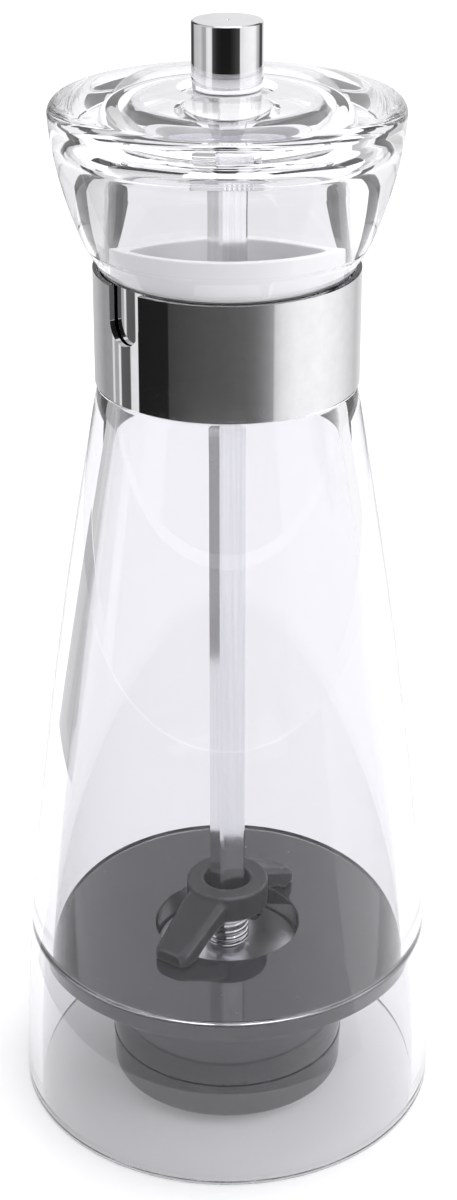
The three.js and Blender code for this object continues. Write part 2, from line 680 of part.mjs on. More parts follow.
const bridge = new THREE.Group();
bridge.rotation.z = ARM_TURN * RAD;
stand.add(bridge);
piece(bridge, "bridge", bridgeGeometry(), greyPlastic());
for (const [name, side] of [["rear", 1], ["front", -1]]) {
  const screw = bridgeScrewGeometry().translate(side * SCREW_PITCH_RADIUS, 0, 0);
  piece(bridge, `bridge_screw_${name}`, screw, steel());
}

// ---- Filling sleeve ----
const outerSleeve = sleeveGeometry(OUTER_SLEEVE_BORE, COLLAR_RADIUS, COLLAR_FOOT, NOTCH_TURN);
piece(mill, "collar_outer_sleeve", outerSleeve, chrome());

// ---- Head ----
const head = new THREE.Group();
mill.add(head);
piece(head, "head", headGeometry(), clearAcrylic());
piece(head, "drive_insert", insertGeometry(), brightAluminium());
piece(head, "knob_washer", knobWasherGeometry(), whiteNylon());
piece(head, "knob", knobGeometry(), chrome());

// ---- Drive train ----
const drive = new THREE.Group();
mill.add(drive);
piece(drive, "shaft", shaftGeometry(), brightAluminium());
piece(drive, "feed_plate", feedPlateGeometry(), steel());
piece(drive, "rotor_burr", rotorGeometry(), hardBurr());
piece(drive, "rotor_washer", rotorWasherGeometry(), steel());
piece(drive, "rotor_screw", rotorScrewGeometry(), steel());

export default mill;
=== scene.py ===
"""Looks of a clear pepper mill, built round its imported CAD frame. Sizes are in millimetres."""

import logging
import math
from collections.abc import Callable, Iterable, Sequence
from dataclasses import dataclass, field
from enum import Enum

import bmesh
import bpy
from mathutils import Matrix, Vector

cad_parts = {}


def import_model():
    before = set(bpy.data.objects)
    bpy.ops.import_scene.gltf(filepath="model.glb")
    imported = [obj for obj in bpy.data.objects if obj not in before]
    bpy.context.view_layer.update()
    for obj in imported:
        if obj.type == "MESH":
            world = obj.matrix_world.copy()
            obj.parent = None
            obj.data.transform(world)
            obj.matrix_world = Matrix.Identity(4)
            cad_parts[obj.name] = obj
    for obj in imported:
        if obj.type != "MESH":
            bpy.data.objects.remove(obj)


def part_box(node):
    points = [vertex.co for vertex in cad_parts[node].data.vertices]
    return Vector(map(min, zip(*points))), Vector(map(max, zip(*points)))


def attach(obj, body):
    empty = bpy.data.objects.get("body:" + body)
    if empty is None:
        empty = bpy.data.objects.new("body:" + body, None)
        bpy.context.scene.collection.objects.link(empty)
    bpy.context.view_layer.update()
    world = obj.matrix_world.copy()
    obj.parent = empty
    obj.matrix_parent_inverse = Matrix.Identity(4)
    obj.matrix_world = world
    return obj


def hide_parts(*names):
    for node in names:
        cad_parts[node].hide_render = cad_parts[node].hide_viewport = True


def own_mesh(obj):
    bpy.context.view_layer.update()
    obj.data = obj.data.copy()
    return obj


Socket = bpy.types.NodeSocket
Thing = bpy.types.Object
Shape = bmesh.types.BMesh
Vertex = bmesh.types.BMVert

LOG = logging.getLogger("pepper_mill")
MM = 0.001
TINY = 1e-6
SHAFT_TURN = math.radians(26.7)  # how far the square shaft stands turned about Z
SHARP = math.radians(27)  # edges steeper than this stay crisp
DULL_METAL = 0.94  # how far metal's colour falls where it is dull
DEEP_MOULDING = 0.86  # and a moulding's


class Piece(Enum):
    """CAD bodies that the pieces ride on."""

    STAND = "mill_body"
    SLEEVE = "filling_sleeve"
    HEAD = "turning_head"
    KNOB = "adjusting_knob"
    DRIVE = "drive_train"


class Slot(Enum):
    """Material slots of the record."""

    CLEAR = "clear_acrylic"
    CHROME = "chrome"
    ALUMINIUM = "aluminium"
    STEEL = "steel"
    BURR = "burr_steel"
    DARK = "dark_plastic"
    GREY = "grey_plastic"
    NYLON = "white_nylon"


class Section(Enum):
    """Outline of a bar at one height."""

    ROUND = "round"
    SQUARE = "square"


# ---- Node trees ---------------------------------------------------------------------------------


class Sheet:
    """Writes nodes into a tree, one short call for each."""

    def __init__(self, tree: bpy.types.NodeTree) -> None:
        """Starts on an empty tree.

        Args:
            tree: The tree to fill.
        """
        self.tree = tree
        tree.nodes.clear()

    def node(self, kind: str, settings: dict | None = None, **inputs: object) -> bpy.types.Node:
        """Adds a node.

        Args:
            kind: The node's type name.
            settings: Properties of the node itself.
            inputs: Socket values or sockets to link, by the socket's name with _ for a space.

        Returns:
            The node.
        """
        made = self.tree.nodes.new(kind)
        for name, value in (settings or {}).items():
            setattr(made, name, value)
        for name, value in inputs.items():
            self.feed(self.socket(made, name), value)
        return made

    @staticmethod
    def socket(node: bpy.types.Node, name: str) -> Socket:
        """Finds an input by its name, or by its place where the name is like _0."""
        if name.startswith("_"):
            return node.inputs[int(name[1:])]
        return node.inputs[name.replace("_", " ")]

    def feed(self, socket: Socket, value: object) -> None:
        """Links a socket to an input, or sets the input's value."""
        if isinstance(value, Socket):
            self.tree.links.new(value, socket)
        else:
            socket.default_value = value

    def math(self, operation: str, *terms: object) -> Socket:
        """Adds a sum of one, two or three terms and returns its result."""
        made = self.node("ShaderNodeMath", {"operation": operation})
        for socket, term in zip(made.inputs, terms):
            self.feed(socket, term)
        return made.outputs[0]

    def times(self, first: object, second: object) -> Socket:
        """Multiplies two values."""
        return self.math("MULTIPLY", first, second)

    def blend(self, share: object, low: object, high: object) -> Socket:
        """Mixes two colours, each a socket or three numbers, by a share of the second."""
        made = self.node("ShaderNodeMix", {"data_type": "RGBA"}, Factor=share)
        for socket, colour in zip((made.inputs[6], made.inputs[7]), (low, high)):
            self.feed(socket, (*colour, 1) if isinstance(colour, tuple) else colour)
        return made.outputs[2]


def blank_material(name: str) -> tuple[bpy.types.Material, Sheet]:
    """Makes a material and the sheet that its nodes are written on."""
    made = bpy.data.materials.new(name)
    made.use_nodes = True
    return made, Sheet(made.node_tree)


# ---- Finishes -----------------------------------------------------------------------------------

Colour = tuple[float, float, float]


@dataclass(frozen=True)
class Finish:
    """What every finish has: a name, its slot in the record and its colour."""

    name: str
    slot: Slot
    colour: Colour

    def material(self) -> bpy.types.Material:
        """Makes the material, or returns it where it is made already."""
        found = bpy.data.materials.get(self.name)
        if found is not None:
            return found
        made, sheet = blank_material(self.name)
        surface = self.surface(sheet)
        sheet.node("ShaderNodeOutputMaterial", Surface=surface)
        return made

    def shaded(self, sheet: Sheet, share: Socket, dull: float) -> Socket:
        """Varies the colour down to a duller one, as a share from 0 to 1 says."""
        return sheet.blend(share, tuple(c * dull for c in self.colour), self.colour)

    def surface(self, sheet: Sheet) -> Socket:
        """Writes the surface's nodes; each finish has its own."""
        raise NotImplementedError

    @staticmethod
    def place(sheet: Sheet, stretch: Colour = (1, 1, 1)) -> Socket:
        """Gives the place on the object, in millimetres, stretched as asked."""
        where = sheet.node("ShaderNodeTexCoord").outputs["Object"]
        scale = tuple(1000 * s for s in stretch)
        return sheet.node("ShaderNodeMapping", Vector=where, Scale=scale).outputs[0]

    @staticmethod
    def noise(sheet: Sheet, where: Socket, scale: float, detail: float = 4) -> Socket:
        """Adds a noise of that many waves a millimetre."""
        made = sheet.node("ShaderNodeTexNoise", Vector=where, Scale=scale, Detail=detail)
        return made.outputs["Fac"]

    @staticmethod
    def spread(sheet: Sheet, value: Socket, low: float, high: float,
               start: float = 0.3, end: float = 0.7) -> Socket:
        """Maps a noise between start and end to run from low to high."""
        made = sheet.node(
            "ShaderNodeMapRange", Value=value, From_Min=start, From_Max=end, To_Min=low, To_Max=high
        )
        return made.outputs[0]

    @staticmethod
    def bump(sheet: Sheet, height: Socket, depth: float, strength: float) -> Socket:
        """Turns a height into a normal, with the depth in millimetres."""
        made = sheet.node("ShaderNodeBump", Height=height, Distance=depth * MM, Strength=strength)
        return made.outputs[0]


@dataclass(frozen=True)
class ClearAcrylic(Finish):
    """Polished clear plastic with a faint tint, a little haze and faint broad waves in its surface."""

    haze: float = 0.02
    refraction: float = 1.49

    def surface(self, sheet: Sheet) -> Socket:
        """Glass that lets lamps through, so that what stands inside it is lit."""
        where = self.place(sheet)
        cloud = self.noise(sheet, where, 0.09, 3)
        roughness = self.spread(sheet, cloud, 0.0, self.haze, 0.45, 0.75)
        wave = self.noise(sheet, where, 0.05, 1)
        glass = sheet.node(
            "ShaderNodeBsdfPrincipled",
            Base_Color=(*self.colour, 1),
            Roughness=roughness,
            IOR=self.refraction,
            Transmission_Weight=1.0,
            Normal=self.bump(sheet, wave, 0.05, 0.25),
        )
        clear = sheet.node("ShaderNodeBsdfTransparent", Color=(0.98, 0.98, 0.98, 1))
        lamp = sheet.node("ShaderNodeLightPath").outputs["Is Shadow Ray"]
        mixed = sheet.node("ShaderNodeMixShader", _0=lamp, _1=glass.outputs[0], _2=clear.outputs[0])
        return mixed.outputs[0]


@dataclass(frozen=True)
class Polished(Finish):
    """Bright metal: plate or polished steel, with wiping marks and a soft smudge here and there."""

    roughness: float = 0.04
    smudge: float = 0.08
    scratches: float = 0.15

    def tint(self, sheet: Sheet, tone: Socket) -> Socket:
        """Gives the colour; plain polish leaves it as it is."""
        return tone

    def surface(self, sheet: Sheet) -> Socket:
        """A mirror with smudges in its roughness and hairlines in its normal."""
        where = self.place(sheet)
        cloud = self.noise(sheet, where, 0.12, 5)
        roughness = self.spread(sheet, cloud, self.roughness, self.smudge, 0.5, 0.8)
        hair = self.noise(sheet, self.place(sheet, (0.15, 0.15, 5)), 1.1, 6)
        shade = self.noise(sheet, where, 0.5, 5)
        tone = self.shaded(sheet, self.spread(sheet, shade, 0, 1), DULL_METAL)
        made = sheet.node(
            "ShaderNodeBsdfPrincipled",
            Base_Color=self.tint(sheet, tone),
            Metallic=1.0,
            Roughness=roughness,
            Normal=self.bump(sheet, hair, 0.004, self.scratches),
        )
        return made.outputs[0]


@dataclass(frozen=True)
class SleeveWithGapShade(Polished):
    """Chrome plate whose narrow top edge carries painted shade: a near-black line that stands for the shadowed
    gap under the head's foot.
    """

    # height of the top edge, where the painted gap shade is laid
    rim: float = 143.5

    def tint(self, sheet: Sheet, tone: Socket) -> Socket:
        """Paints shade on what faces up at the rim, for the shadowed gap between head and collar."""
        facing = sheet.node("ShaderNodeNewGeometry").outputs["Normal"]
        up = sheet.node("ShaderNodeSeparateXYZ", Vector=facing)
        high = sheet.node("ShaderNodeSeparateXYZ", Vector=self.place(sheet))
        # painted shade: near-black on the upward faces of the top edge, standing for the dark gap under the
        # head
        wear_and_gap_shade = sheet.times(
            self.spread(sheet, up.outputs["Z"], 0, 1, 0.5, 0.8),
            self.spread(sheet, high.outputs["Z"], 0, 1, self.rim - 0.35, self.rim - 0.25),
        )
        return sheet.blend(wear_and_gap_shade, tone, (0.02, 0.02, 0.022))


@dataclass(frozen=True)
class Drawn(Finish):
    """Metal drawn or cut to shape, with fine lines that run along it."""

    roughness: float = 0.16
    lines: float = 0.15
    stretch: Colour = (6, 6, 0.06)

    def surface(self, sheet: Sheet) -> Socket:
        """A soft mirror whose lines vary its roughness, tone and normal."""
        lines = self.noise(sheet, self.place(sheet, self.stretch), 1.0, 6)
        streaks = self.noise(sheet, self.place(sheet, (2.2, 2.2, 0.03)), 1.0, 5)
        tone = self.shaded(sheet, self.spread(sheet, streaks, 0, 1, 0.35, 0.6), DULL_METAL)
        made = sheet.node(
            "ShaderNodeBsdfPrincipled",
            Base_Color=tone,
            Metallic=1.0,
            Roughness=self.spread(sheet, lines, self.roughness * 0.7, self.roughness * 1.5),
            Normal=self.bump(sheet, lines, 0.02, self.lines),
        )
        return made.outputs[0]


@dataclass(frozen=True)
class Moulded(Finish):
    """Moulded plastic: fine grain, a little unevenness, paler rubbed edges and specks of dust."""

    roughness: float = 0.3
    grain: float = 0.15
    wear: float = 0.2
    dust: float = 0.25
    gloss: float = 1.5
    passes: float = 0.0  # share of the light that comes through, as in nylon

    def surface(self, sheet: Sheet) -> Socket:
        """Plastic whose colour, roughness and normal vary as a moulding's do."""
        where = self.place(sheet)
        mottle = self.noise(sheet, where, 0.25, 6)
        fine = self.noise(sheet, where, 5.5, 3)
        edge = sheet.node("ShaderNodeNewGeometry").outputs["Pointiness"]
        rubbed = sheet.times(
            self.spread(sheet, edge, 0, self.wear, 0.505, 0.56),
            self.spread(sheet, self.noise(sheet, where, 0.7, 4), 0.25, 1, 0.4, 0.6),
        )
        speck = sheet.node("ShaderNodeTexVoronoi", Vector=where, Scale=0.22).outputs["Distance"]
        dust = self.spread(sheet, speck, self.dust, 0, 0.035, 0.06)
        pale = sheet.math("MAXIMUM", rubbed, dust)
        tone = self.shaded(sheet, self.spread(sheet, mottle, 0, 1), DEEP_MOULDING)
        wear_and_gap_shade = sheet.blend(pale, tone, (0.6, 0.6, 0.62))
        made = sheet.node(
            "ShaderNodeBsdfPrincipled",
            Base_Color=wear_and_gap_shade,
            Roughness=self.spread(sheet, mottle, self.roughness * 0.8, self.roughness * 1.25),
            IOR=self.gloss,
            Normal=self.bump(sheet, fine, 0.02, self.grain),
        )
        if not self.passes:
            return made.outputs[0]
        through = sheet.node("ShaderNodeBsdfTranslucent", Color=(*self.colour, 1))
        both = sheet.node("ShaderNodeMixShader", _0=self.passes, _1=made.outputs[0], _2=through.outputs[0])
        return both.outputs[0]


CLEAR_BODY = ClearAcrylic("clear_body", Slot.CLEAR, (0.845, 0.842, 0.862), haze=0.015)
CLEAR_HEAD = ClearAcrylic("clear_head", Slot.CLEAR, (0.945, 0.943, 0.957), haze=0.01)
CHROME = Polished("chrome_plate", Slot.CHROME, (0.9, 0.9, 0.92), roughness=0.025, smudge=0.07)
SLEEVE = SleeveWithGapShade(
    "sleeve_plate", Slot.CHROME, (0.9, 0.9, 0.92), roughness=0.03, smudge=0.09, scratches=0.3
)
STEEL = Polished("polished_steel", Slot.STEEL, (0.82, 0.82, 0.84), roughness=0.07, smudge=0.16, scratches=0.3)
BRUSHED = Polished("brushed_plate", Slot.STEEL, (0.86, 0.86, 0.88), roughness=0.3, smudge=0.38, scratches=0.3)
ALUMINIUM = Drawn("drawn_aluminium", Slot.ALUMINIUM, (0.86, 0.86, 0.88), roughness=0.1, lines=0.08)
BURR = Drawn("cut_steel", Slot.BURR, (0.5, 0.5, 0.52), roughness=0.34, stretch=(1.5, 1.5, 1.5))
DARK = Moulded(
    "dark_moulding", Slot.DARK, (0.03, 0.0288, 0.035), roughness=0.045, grain=0.004, wear=0.12,
    dust=0.12, gloss=2.0,
)
GREY = Moulded("grey_moulding", Slot.GREY, (0.03, 0.029, 0.034), roughness=0.36, grain=0.2, wear=0.3)
NYLON = Moulded("white_nylon", Slot.NYLON, (0.8, 0.8, 0.82), roughness=0.4, wear=0, dust=0, passes=0.5)


# ---- Shapes -------------------------------------------------------------------------------------


@dataclass(frozen=True)
class Row:
    """One corner of a turned outline: its radius or half side, its height and how round it is."""

    r: float
    z: float
    round: float = 0.0
    section: Section = Section.ROUND
    corner: float = 0.25  # cut off a square section's corners

    def at(self, angle: float) -> tuple[float, float, float]:
        """Gives the point of this row at an angle, in metres."""
        reach = self.r
        if self.section is Section.SQUARE:
            across = max(abs(math.cos(angle - SHAFT_TURN)), abs(math.sin(angle - SHAFT_TURN)))
            reach = min(self.r / across, self.r * math.sqrt(2) - self.corner)
        return (reach * math.cos(angle) * MM, reach * math.sin(angle) * MM, self.z * MM)


def softened(rows: Sequence[Row], closed: bool, steps: int = 5, hold: float = 0.12) -> list[Row]:
    """Rounds the corners of an outline.

    Args:
        rows: The outline's corners in order.
        closed: Whether the last corner joins the first.
        steps: Rows in each rounded corner.
        hold: How far past each curve a row keeps the flat beside it flat.

    Returns:
        The outline with a curve in place of each corner that asks for one.
    """
    made: list[Row] = []
    count = len(rows)
    for i, row in enumerate(rows):
        ends = not closed and i in (0, count - 1)
        if row.round <= 0 or ends:
            made.append(row)
            continue
        here = Vector((row.r, row.z))
        sides, holds = [], []
        for other in (rows[i - 1], rows[(i + 1) % count]):
            away = Vector((other.r, other.z)) - here
            reach = min(row.round, away.length * 0.4)
            sides.append(here + away.normalized() * reach)
            holds.append(here + away.normalized() * min(reach + hold, away.length * 0.46))
        shares = [j / steps for j in range(steps + 1)]
        arc = [sides[0].lerp(here, t).lerp(here.lerp(sides[1], t), t) for t in shares]
        for point in (holds[0], *arc, holds[1]):
            made.append(Row(point.x, point.y, 0, row.section, row.corner))
    return made


def square(half: float, z: float, corner: float = 0.1, soft: float = 0.0) -> Row:
    """A corner of a square bar's or hole's outline."""
    return Row(half, z, soft, Section.SQUARE, corner)


def curve(start: float, end: float, steps: int, radius: Callable[[float], float]) -> list[Row]:
    """Rows at even heights, with the radius from a rule."""
    heights = (start + (end - start) * i / steps for i in range(steps + 1))
    return [Row(radius(z), z) for z in heights]


def bent(a: Vector, b: Vector, c: Vector, steps: int) -> list[Row]:
    """Rows along a curve from a to c that b pulls."""
    made = []
    for i in range(steps + 1):
        t = i / steps
        p = a * (1 - t) ** 2 + b * 2 * t * (1 - t) + c * t * t
        made.append(Row(p.x, p.y))
    return made


def linked(name: str, data: bpy.types.ID) -> Thing:
    """Makes an object at the origin and links it to the scene."""
    made = bpy.data.objects.new(name, data)
    bpy.context.scene.collection.objects.link(made)
    return made


def as_mesh(bm: Shape, name: str) -> bpy.types.Mesh:
    """Turns a bmesh into a named mesh."""
    mesh = bpy.data.meshes.new(name)
    bm.to_mesh(mesh)
    bm.free()
    return mesh


def strip(bm: Shape, columns: Sequence[Sequence[Vertex]]) -> None:
    """Fills faces between two-point columns that stand side by side."""
    for left, right in zip(columns, columns[1:]):
        bm.faces.new((left[0], right[0], right[1], left[1]))


def heading(degrees: float) -> tuple[Vector, Vector]:
    """Gives the level directions along an angle and across it."""
    turn = math.radians(degrees)
    along = Vector((math.cos(turn), math.sin(turn), 0))
    return along, Vector((-along.y, along.x, 0))


def settle(bm: Shape, name: str) -> Thing:
    """Turns a bmesh into a named object with its faces outwards and smooth."""
    bmesh.ops.recalc_face_normals(bm, faces=bm.faces)
    for face in bm.faces:
        face.smooth = True
    mesh = as_mesh(bm, name)
    mesh.set_sharp_from_angle(angle=SHARP)
    return linked(name, mesh)


def turned(name: str, rows: Sequence[Row], segments: int = 160, closed: bool = True) -> Thing:
    """Makes a turned shape about Z.

    Args:
        name: The object's name.
        rows: The outline, up the outside and down the inside.
        segments: Steps round the axis, a multiple of eight.
        closed: Whether the outline closes on itself and not at two poles.

    Returns:
        The object.
    """
    bm = bmesh.new()
    angles = [SHAFT_TURN + math.pi / 4 + 2 * math.pi * i / segments for i in range(segments)]
    rings = []
    for row in softened(rows, closed):
        points = [(0.0, 0.0, row.z * MM)] if row.r < TINY else [row.at(a) for a in angles]
        rings.append([bm.verts.new(p) for p in points])
    following = rings[1:] + (rings[:1] if closed else [])
    for low, high in zip(rings, following):
        for i in range(segments):
            j = (i + 1) % segments
            loop = [low[i % len(low)], low[j % len(low)], high[j % len(high)], high[i % len(high)]]
            loop = list(dict.fromkeys(loop))
            if len(loop) > 2:
                bm.faces.new(loop)
    return settle(bm, name)


def tube(inner: float, outer: float, foot: float, top: float, soft: float = 0.1) -> list[Row]:
    """Outline of a plain tube with softened edges."""
    return [Row(inner, foot, soft), Row(outer, foot, soft), Row(outer, top, soft), Row(inner, top, soft)]


def baked(made: Thing) -> Thing:
    """Turns an object's modifiers into its own plain mesh."""
    graph = bpy.context.evaluated_depsgraph_get()
    mesh = bpy.data.meshes.new_from_object(made.evaluated_get(graph), depsgraph=graph)
    mesh.name = made.name
    made.modifiers.clear()
    made.data = mesh
    return made


def carved(made: Thing, tools: Iterable[Thing], operation: str = "DIFFERENCE") -> Thing:
    """Cuts tools out of an object, or joins them to it, and removes the tools."""
    tools = list(tools)
    for tool in tools:
        modifier = made.modifiers.new("carve", "BOOLEAN")
        modifier.object = tool
        modifier.operation = operation
        modifier.solver = "EXACT"
    baked(made)
    for tool in tools:
        bpy.data.objects.remove(tool)
    made.data.set_sharp_from_angle(angle=SHARP)
    return made


def prism(name: str, outline: Sequence[tuple[float, float]], place: Callable[[float, float, float], Vector],
          start: float, end: float) -> Thing:
    """Makes a solid from a flat outline between two depths.

    Args:
        name: The object's name.
        outline: Corners of the outline, in millimetres.
        place: Gives the point for a corner and a depth, in millimetres.
        start: The first depth.
        end: The last depth.

    Returns:
        The object.
    """
    bm = bmesh.new()
    caps = [[bm.verts.new(place(u, v, d) * MM) for u, v in outline] for d in (start, end)]
    bm.faces.new(caps[0])
    bm.faces.new(caps[1])
    for i in range(len(outline)):
        j = (i + 1) % len(outline)
        bm.faces.new((caps[0][i], caps[0][j], caps[1][j], caps[1][i]))
    return settle(bm, name)


def dress(made: Thing, finish: Finish, body: Piece, *nodes: str) -> Thing:
    """Gives a piece its finish and ties it to the frame.

    Args:
        made: The piece.
        finish: What it is finished in.
        body: The CAD body that it rides on.
        nodes: The CAD nodes that it stands for.

    Returns:
        The piece.
    """
    made.data.materials.clear()
    made.data.materials.append(finish.material())
    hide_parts(*nodes)
    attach(made, body.value)
    LOG.info("%s stands for %s", made.name, ", ".join(nodes))
    return made


@dataclass(frozen=True)
class Span:
    """A CAD node's reach at rest: its foot, its top and its outer radius."""

    foot: float
    top: float
    radius: float

    @classmethod
    def of(cls, node: str) -> "Span":
        """Reads a node's box from the frame."""
        low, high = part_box(node)
        return cls(low.z / MM, high.z / MM, max(high.x, high.y) / MM)


def washer(name: str, node: str, bore: float, segments: int, finish: Finish, body: Piece) -> None:
    """Makes a plain washer in a CAD node's place."""
    span = Span.of(node)
    made = turned(name, tube(bore, span.radius, span.foot, span.top), segments)
    dress(made, finish, body, node)


# ---- Geometry node rules ------------------------------------------------------------------------


class Rule:
    """A geometry node tree with named inputs that ends in a plain mesh with its material."""

    def __init__(self, name: str, finish: Finish, **sizes: float) -> None:
        """Starts a tree with one named input for each size.

        Args:
            name: The tree's name.
            finish: The finish that the result is given.
            sizes: The inputs and their values.
        """
        self.tree = bpy.data.node_groups.new(name, "GeometryNodeTree")
        self.sheet = Sheet(self.tree)
        self.finish = finish
        self.sizes = sizes
        face = self.tree.interface
        face.new_socket(name="Geometry", in_out="INPUT", socket_type="NodeSocketGeometry")
        self.sockets = {
            size: face.new_socket(name=size, in_out="INPUT", socket_type="NodeSocketFloat") for size in sizes
        }
        face.new_socket(name="Geometry", in_out="OUTPUT", socket_type="NodeSocketGeometry")
        self.given = self.sheet.node("NodeGroupInput")

    def size(self, name: str) -> Socket:
        """Gives a named input as a socket."""
        return self.given.outputs[name]

    def finished(self, geometry: Socket, smooth: bool = True) -> None:
        """Ends the tree: shading, plain mesh, material."""
        shaded = self.sheet.node("GeometryNodeSetShadeSmooth", Geometry=geometry, Shade_Smooth=smooth)
        plain = self.sheet.node("GeometryNodeRealizeInstances", Geometry=shaded.outputs[0])
        dressed = self.sheet.node(
            "GeometryNodeSetMaterial", Geometry=plain.outputs[0], Material=self.finish.material()
        )
        self.sheet.node("NodeGroupOutput", Geometry=dressed.outputs[0])

    def applied(self, made: Thing) -> Thing:
        """Runs the tree on an object and leaves its result as the object's own mesh."""
        modifier = made.modifiers.new(self.tree.name, "NODES")
        modifier.node_group = self.tree
        for size, socket in self.sockets.items():
            modifier[socket.identifier] = float(self.sizes[size])
        baked(made)
        made.data.set_sharp_from_angle(angle=SHARP)
        return made


class ToothRule(Rule):
    """Cuts twisted teeth into a turned blank by moving its points towards the axis."""

    def __init__(self, name: str, finish: Finish, **sizes: float) -> None:
        """Writes the tree. Its sizes are teeth, depth, twist, foot, height, above and below."""
        super().__init__(name, finish, **sizes)
        s = self.sheet
        where = s.node("GeometryNodeInputPosition").outputs[0]
        axes = s.node("ShaderNodeSeparateXYZ", Vector=where).outputs
        squares = s.math("ADD", s.times(axes[0], axes[0]), s.times(axes[1], axes[1]))
        radius = s.math("SQRT", squares)
        share = s.math("DIVIDE", s.math("SUBTRACT", axes[2], self.size("foot")), self.size("height"))
        turn = s.times(share, self.size("twist"))
        angle = s.math("DIVIDE", s.math("ADD", s.math("ARCTAN2", axes[1], axes[0]), turn), 2 * math.pi)
        phase = s.math("FRACT", s.times(angle, self.size("teeth")))
        cut = s.times(s.math("POWER", phase, 1.6), self.size("depth"))
        in_reach = s.times(s.math("GREATER_THAN", radius, self.size("above")),
                          s.math("LESS_THAN", radius, self.size("below")))
        scale = s.math("SUBTRACT", 1.0, s.math("DIVIDE", s.times(cut, in_reach), radius))
        moved = s.node("ShaderNodeCombineXYZ", X=s.times(axes[0], scale),
                       Y=s.times(axes[1], scale), Z=axes[2])
        blank = self.given.outputs["Geometry"]
        placed = s.node("GeometryNodeSetPosition", Geometry=blank, Position=moved.outputs[0])
        self.finished(placed.outputs[0])


class CoilRule(Rule):
    """Winds a wire into a spring whose end turns lie close."""

    def __init__(self, name: str, finish: Finish, **sizes: float) -> None:
        """Writes the tree. Its sizes are radius, wire, turns, foot and rise."""
        super().__init__(name, finish, **sizes)
        s = self.sheet
        line = s.node("GeometryNodeCurvePrimitiveLine", Start=(0, 0, 0), End=(0, 0, 1))
        count = s.times(self.size("turns"), 40.0)
        dense = s.node("GeometryNodeResampleCurve", Curve=line.outputs[0], Count=count)
        share = s.node("GeometryNodeSplineParameter").outputs["Factor"]
        angle = s.times(share, s.times(self.size("turns"), 2 * math.pi))
        eased = s.node("ShaderNodeMapRange", {"interpolation_type": "SMOOTHSTEP"}, Value=share).outputs[0]
        climb = s.math("ADD", s.times(share, 0.45), s.times(eased, 0.55))
        point = s.node(
            "ShaderNodeCombineXYZ",
            X=s.times(s.math("COSINE", angle), self.size("radius")),
            Y=s.times(s.math("SINE", angle), self.size("radius")),
            Z=s.math("MULTIPLY_ADD", climb, self.size("rise"), self.size("foot")),
        )
        wound = s.node("GeometryNodeSetPosition", Geometry=dense.outputs[0], Position=point.outputs[0])
        wire = s.node("GeometryNodeCurvePrimitiveCircle", Resolution=12, Radius=self.size("wire"))
        solid = s.node(
            "GeometryNodeCurveToMesh", Curve=wound.outputs[0], Profile_Curve=wire.outputs[0], Fill_Caps=True
        )
        self.finished(solid.outputs[0])


class RoundAxisRule(Rule):
    """Sets copies of a piece evenly round the axis."""

    def __init__(self, name: str, finish: Finish, **sizes: float) -> None:
        """Writes the tree. Its sizes are count, reach and turn."""
        super().__init__(name, finish, **sizes)
        s = self.sheet
        count = self.size("count")
        points = s.node("GeometryNodePoints", Count=count)
        index = s.node("GeometryNodeInputIndex").outputs[0]
        step = s.times(s.math("DIVIDE", index, count), 2 * math.pi)
        angle = s.math("ADD", step, self.size("turn"))
        spin = s.node("ShaderNodeCombineXYZ", Z=angle)
        place = s.node(
            "ShaderNodeCombineXYZ",
            X=s.times(s.math("COSINE", angle), self.size("reach")),
            Y=s.times(s.math("SINE", angle), self.size("reach")),
        )
        placed = s.node("GeometryNodeSetPosition", Geometry=points.outputs[0], Position=place.outputs[0])
        copies = s.node(
            "GeometryNodeInstanceOnPoints",
            Points=placed.outputs[0],
            Instance=self.given.outputs["Geometry"],
            Rotation=spin.outputs[0],
        )
        self.finished(copies.outputs[0])


# ---- Sub-assemblies -----------------------------------------------------------------------------


@dataclass
class ClearBody:
    """The flared clear body: store above, open skirt below, neck under the collar."""

    base_radius: float = 34.5
    shoulder_radius: float = 19.75
    shoulder_height: float = 125.4
    flare: float = 1.54
    store_wall: float = 3.8
    skirt_wall: float = 2.4
    ledge: float = 28.9
    neck_radius: float = 17.95
    neck_wall: float = 2.2
    foot_round: float = 0.9
    window_width: float = 6.6
    window_foot: float = 135.1
    lintel: float = 1.6
    span: Span = field(default_factory=lambda: Span.of("body"))

    def flank(self, z: float) -> float:
        """Outer radius at a height."""
        share = min(max(z, 0) / self.shoulder_height, 1)
        return self.shoulder_radius + (self.base_radius - self.shoulder_radius) * (1 - share**self.flare)

    def outline(self) -> list[Row]:
        """Outline of the body, up the outside and down the inside."""
        shoulder, ledge, top = self.shoulder_height, self.ledge, self.span.top
        inner_neck = self.neck_radius - self.neck_wall
        roof = shoulder - self.store_wall
        return [
            Row(self.flank(0), 0, self.foot_round),
            *curve(2.0, shoulder - 1.2, 60, self.flank),
            Row(self.shoulder_radius, shoulder, 0.5),
            Row(self.neck_radius, shoulder, 0.2),
            Row(self.neck_radius, top, 0.3),
            Row(inner_neck, top, 0.3),
            Row(inner_neck, shoulder - 0.5, 1.2),
            *curve(roof, ledge + 1.2, 56, lambda z: self.flank(z) - self.store_wall),
            Row(self.flank(ledge) - self.store_wall, ledge, 0.45),
            Row(self.flank(ledge) - self.skirt_wall, ledge, 0.35),
            *curve(ledge - 1.2, 2.0, 16, lambda z: self.flank(z) - self.skirt_wall),
            Row(self.flank(0) - self.skirt_wall, 0, 0.6),
        ]

    def build(self) -> None:
        """Makes the body with its filling window."""
        body = turned("clear_body", self.outline(), 192)
        half, past = self.window_width / 2, 1.0
        foot, top = self.window_foot + half, self.span.top - self.lintel
        arc = [math.pi + math.pi * i / 12 for i in range(13)]
        outline = [(half, top), (-half, top)]
        outline += [(half * math.cos(a), foot + half * math.sin(a)) for a in arc]
        window = prism(
            "window", outline, lambda u, v, d: Vector((d, u, v)),
            self.neck_radius - self.neck_wall - past, self.neck_radius + past,
        )
        dress(carved(body, [window]), CLEAR_BODY, Piece.STAND, "body")


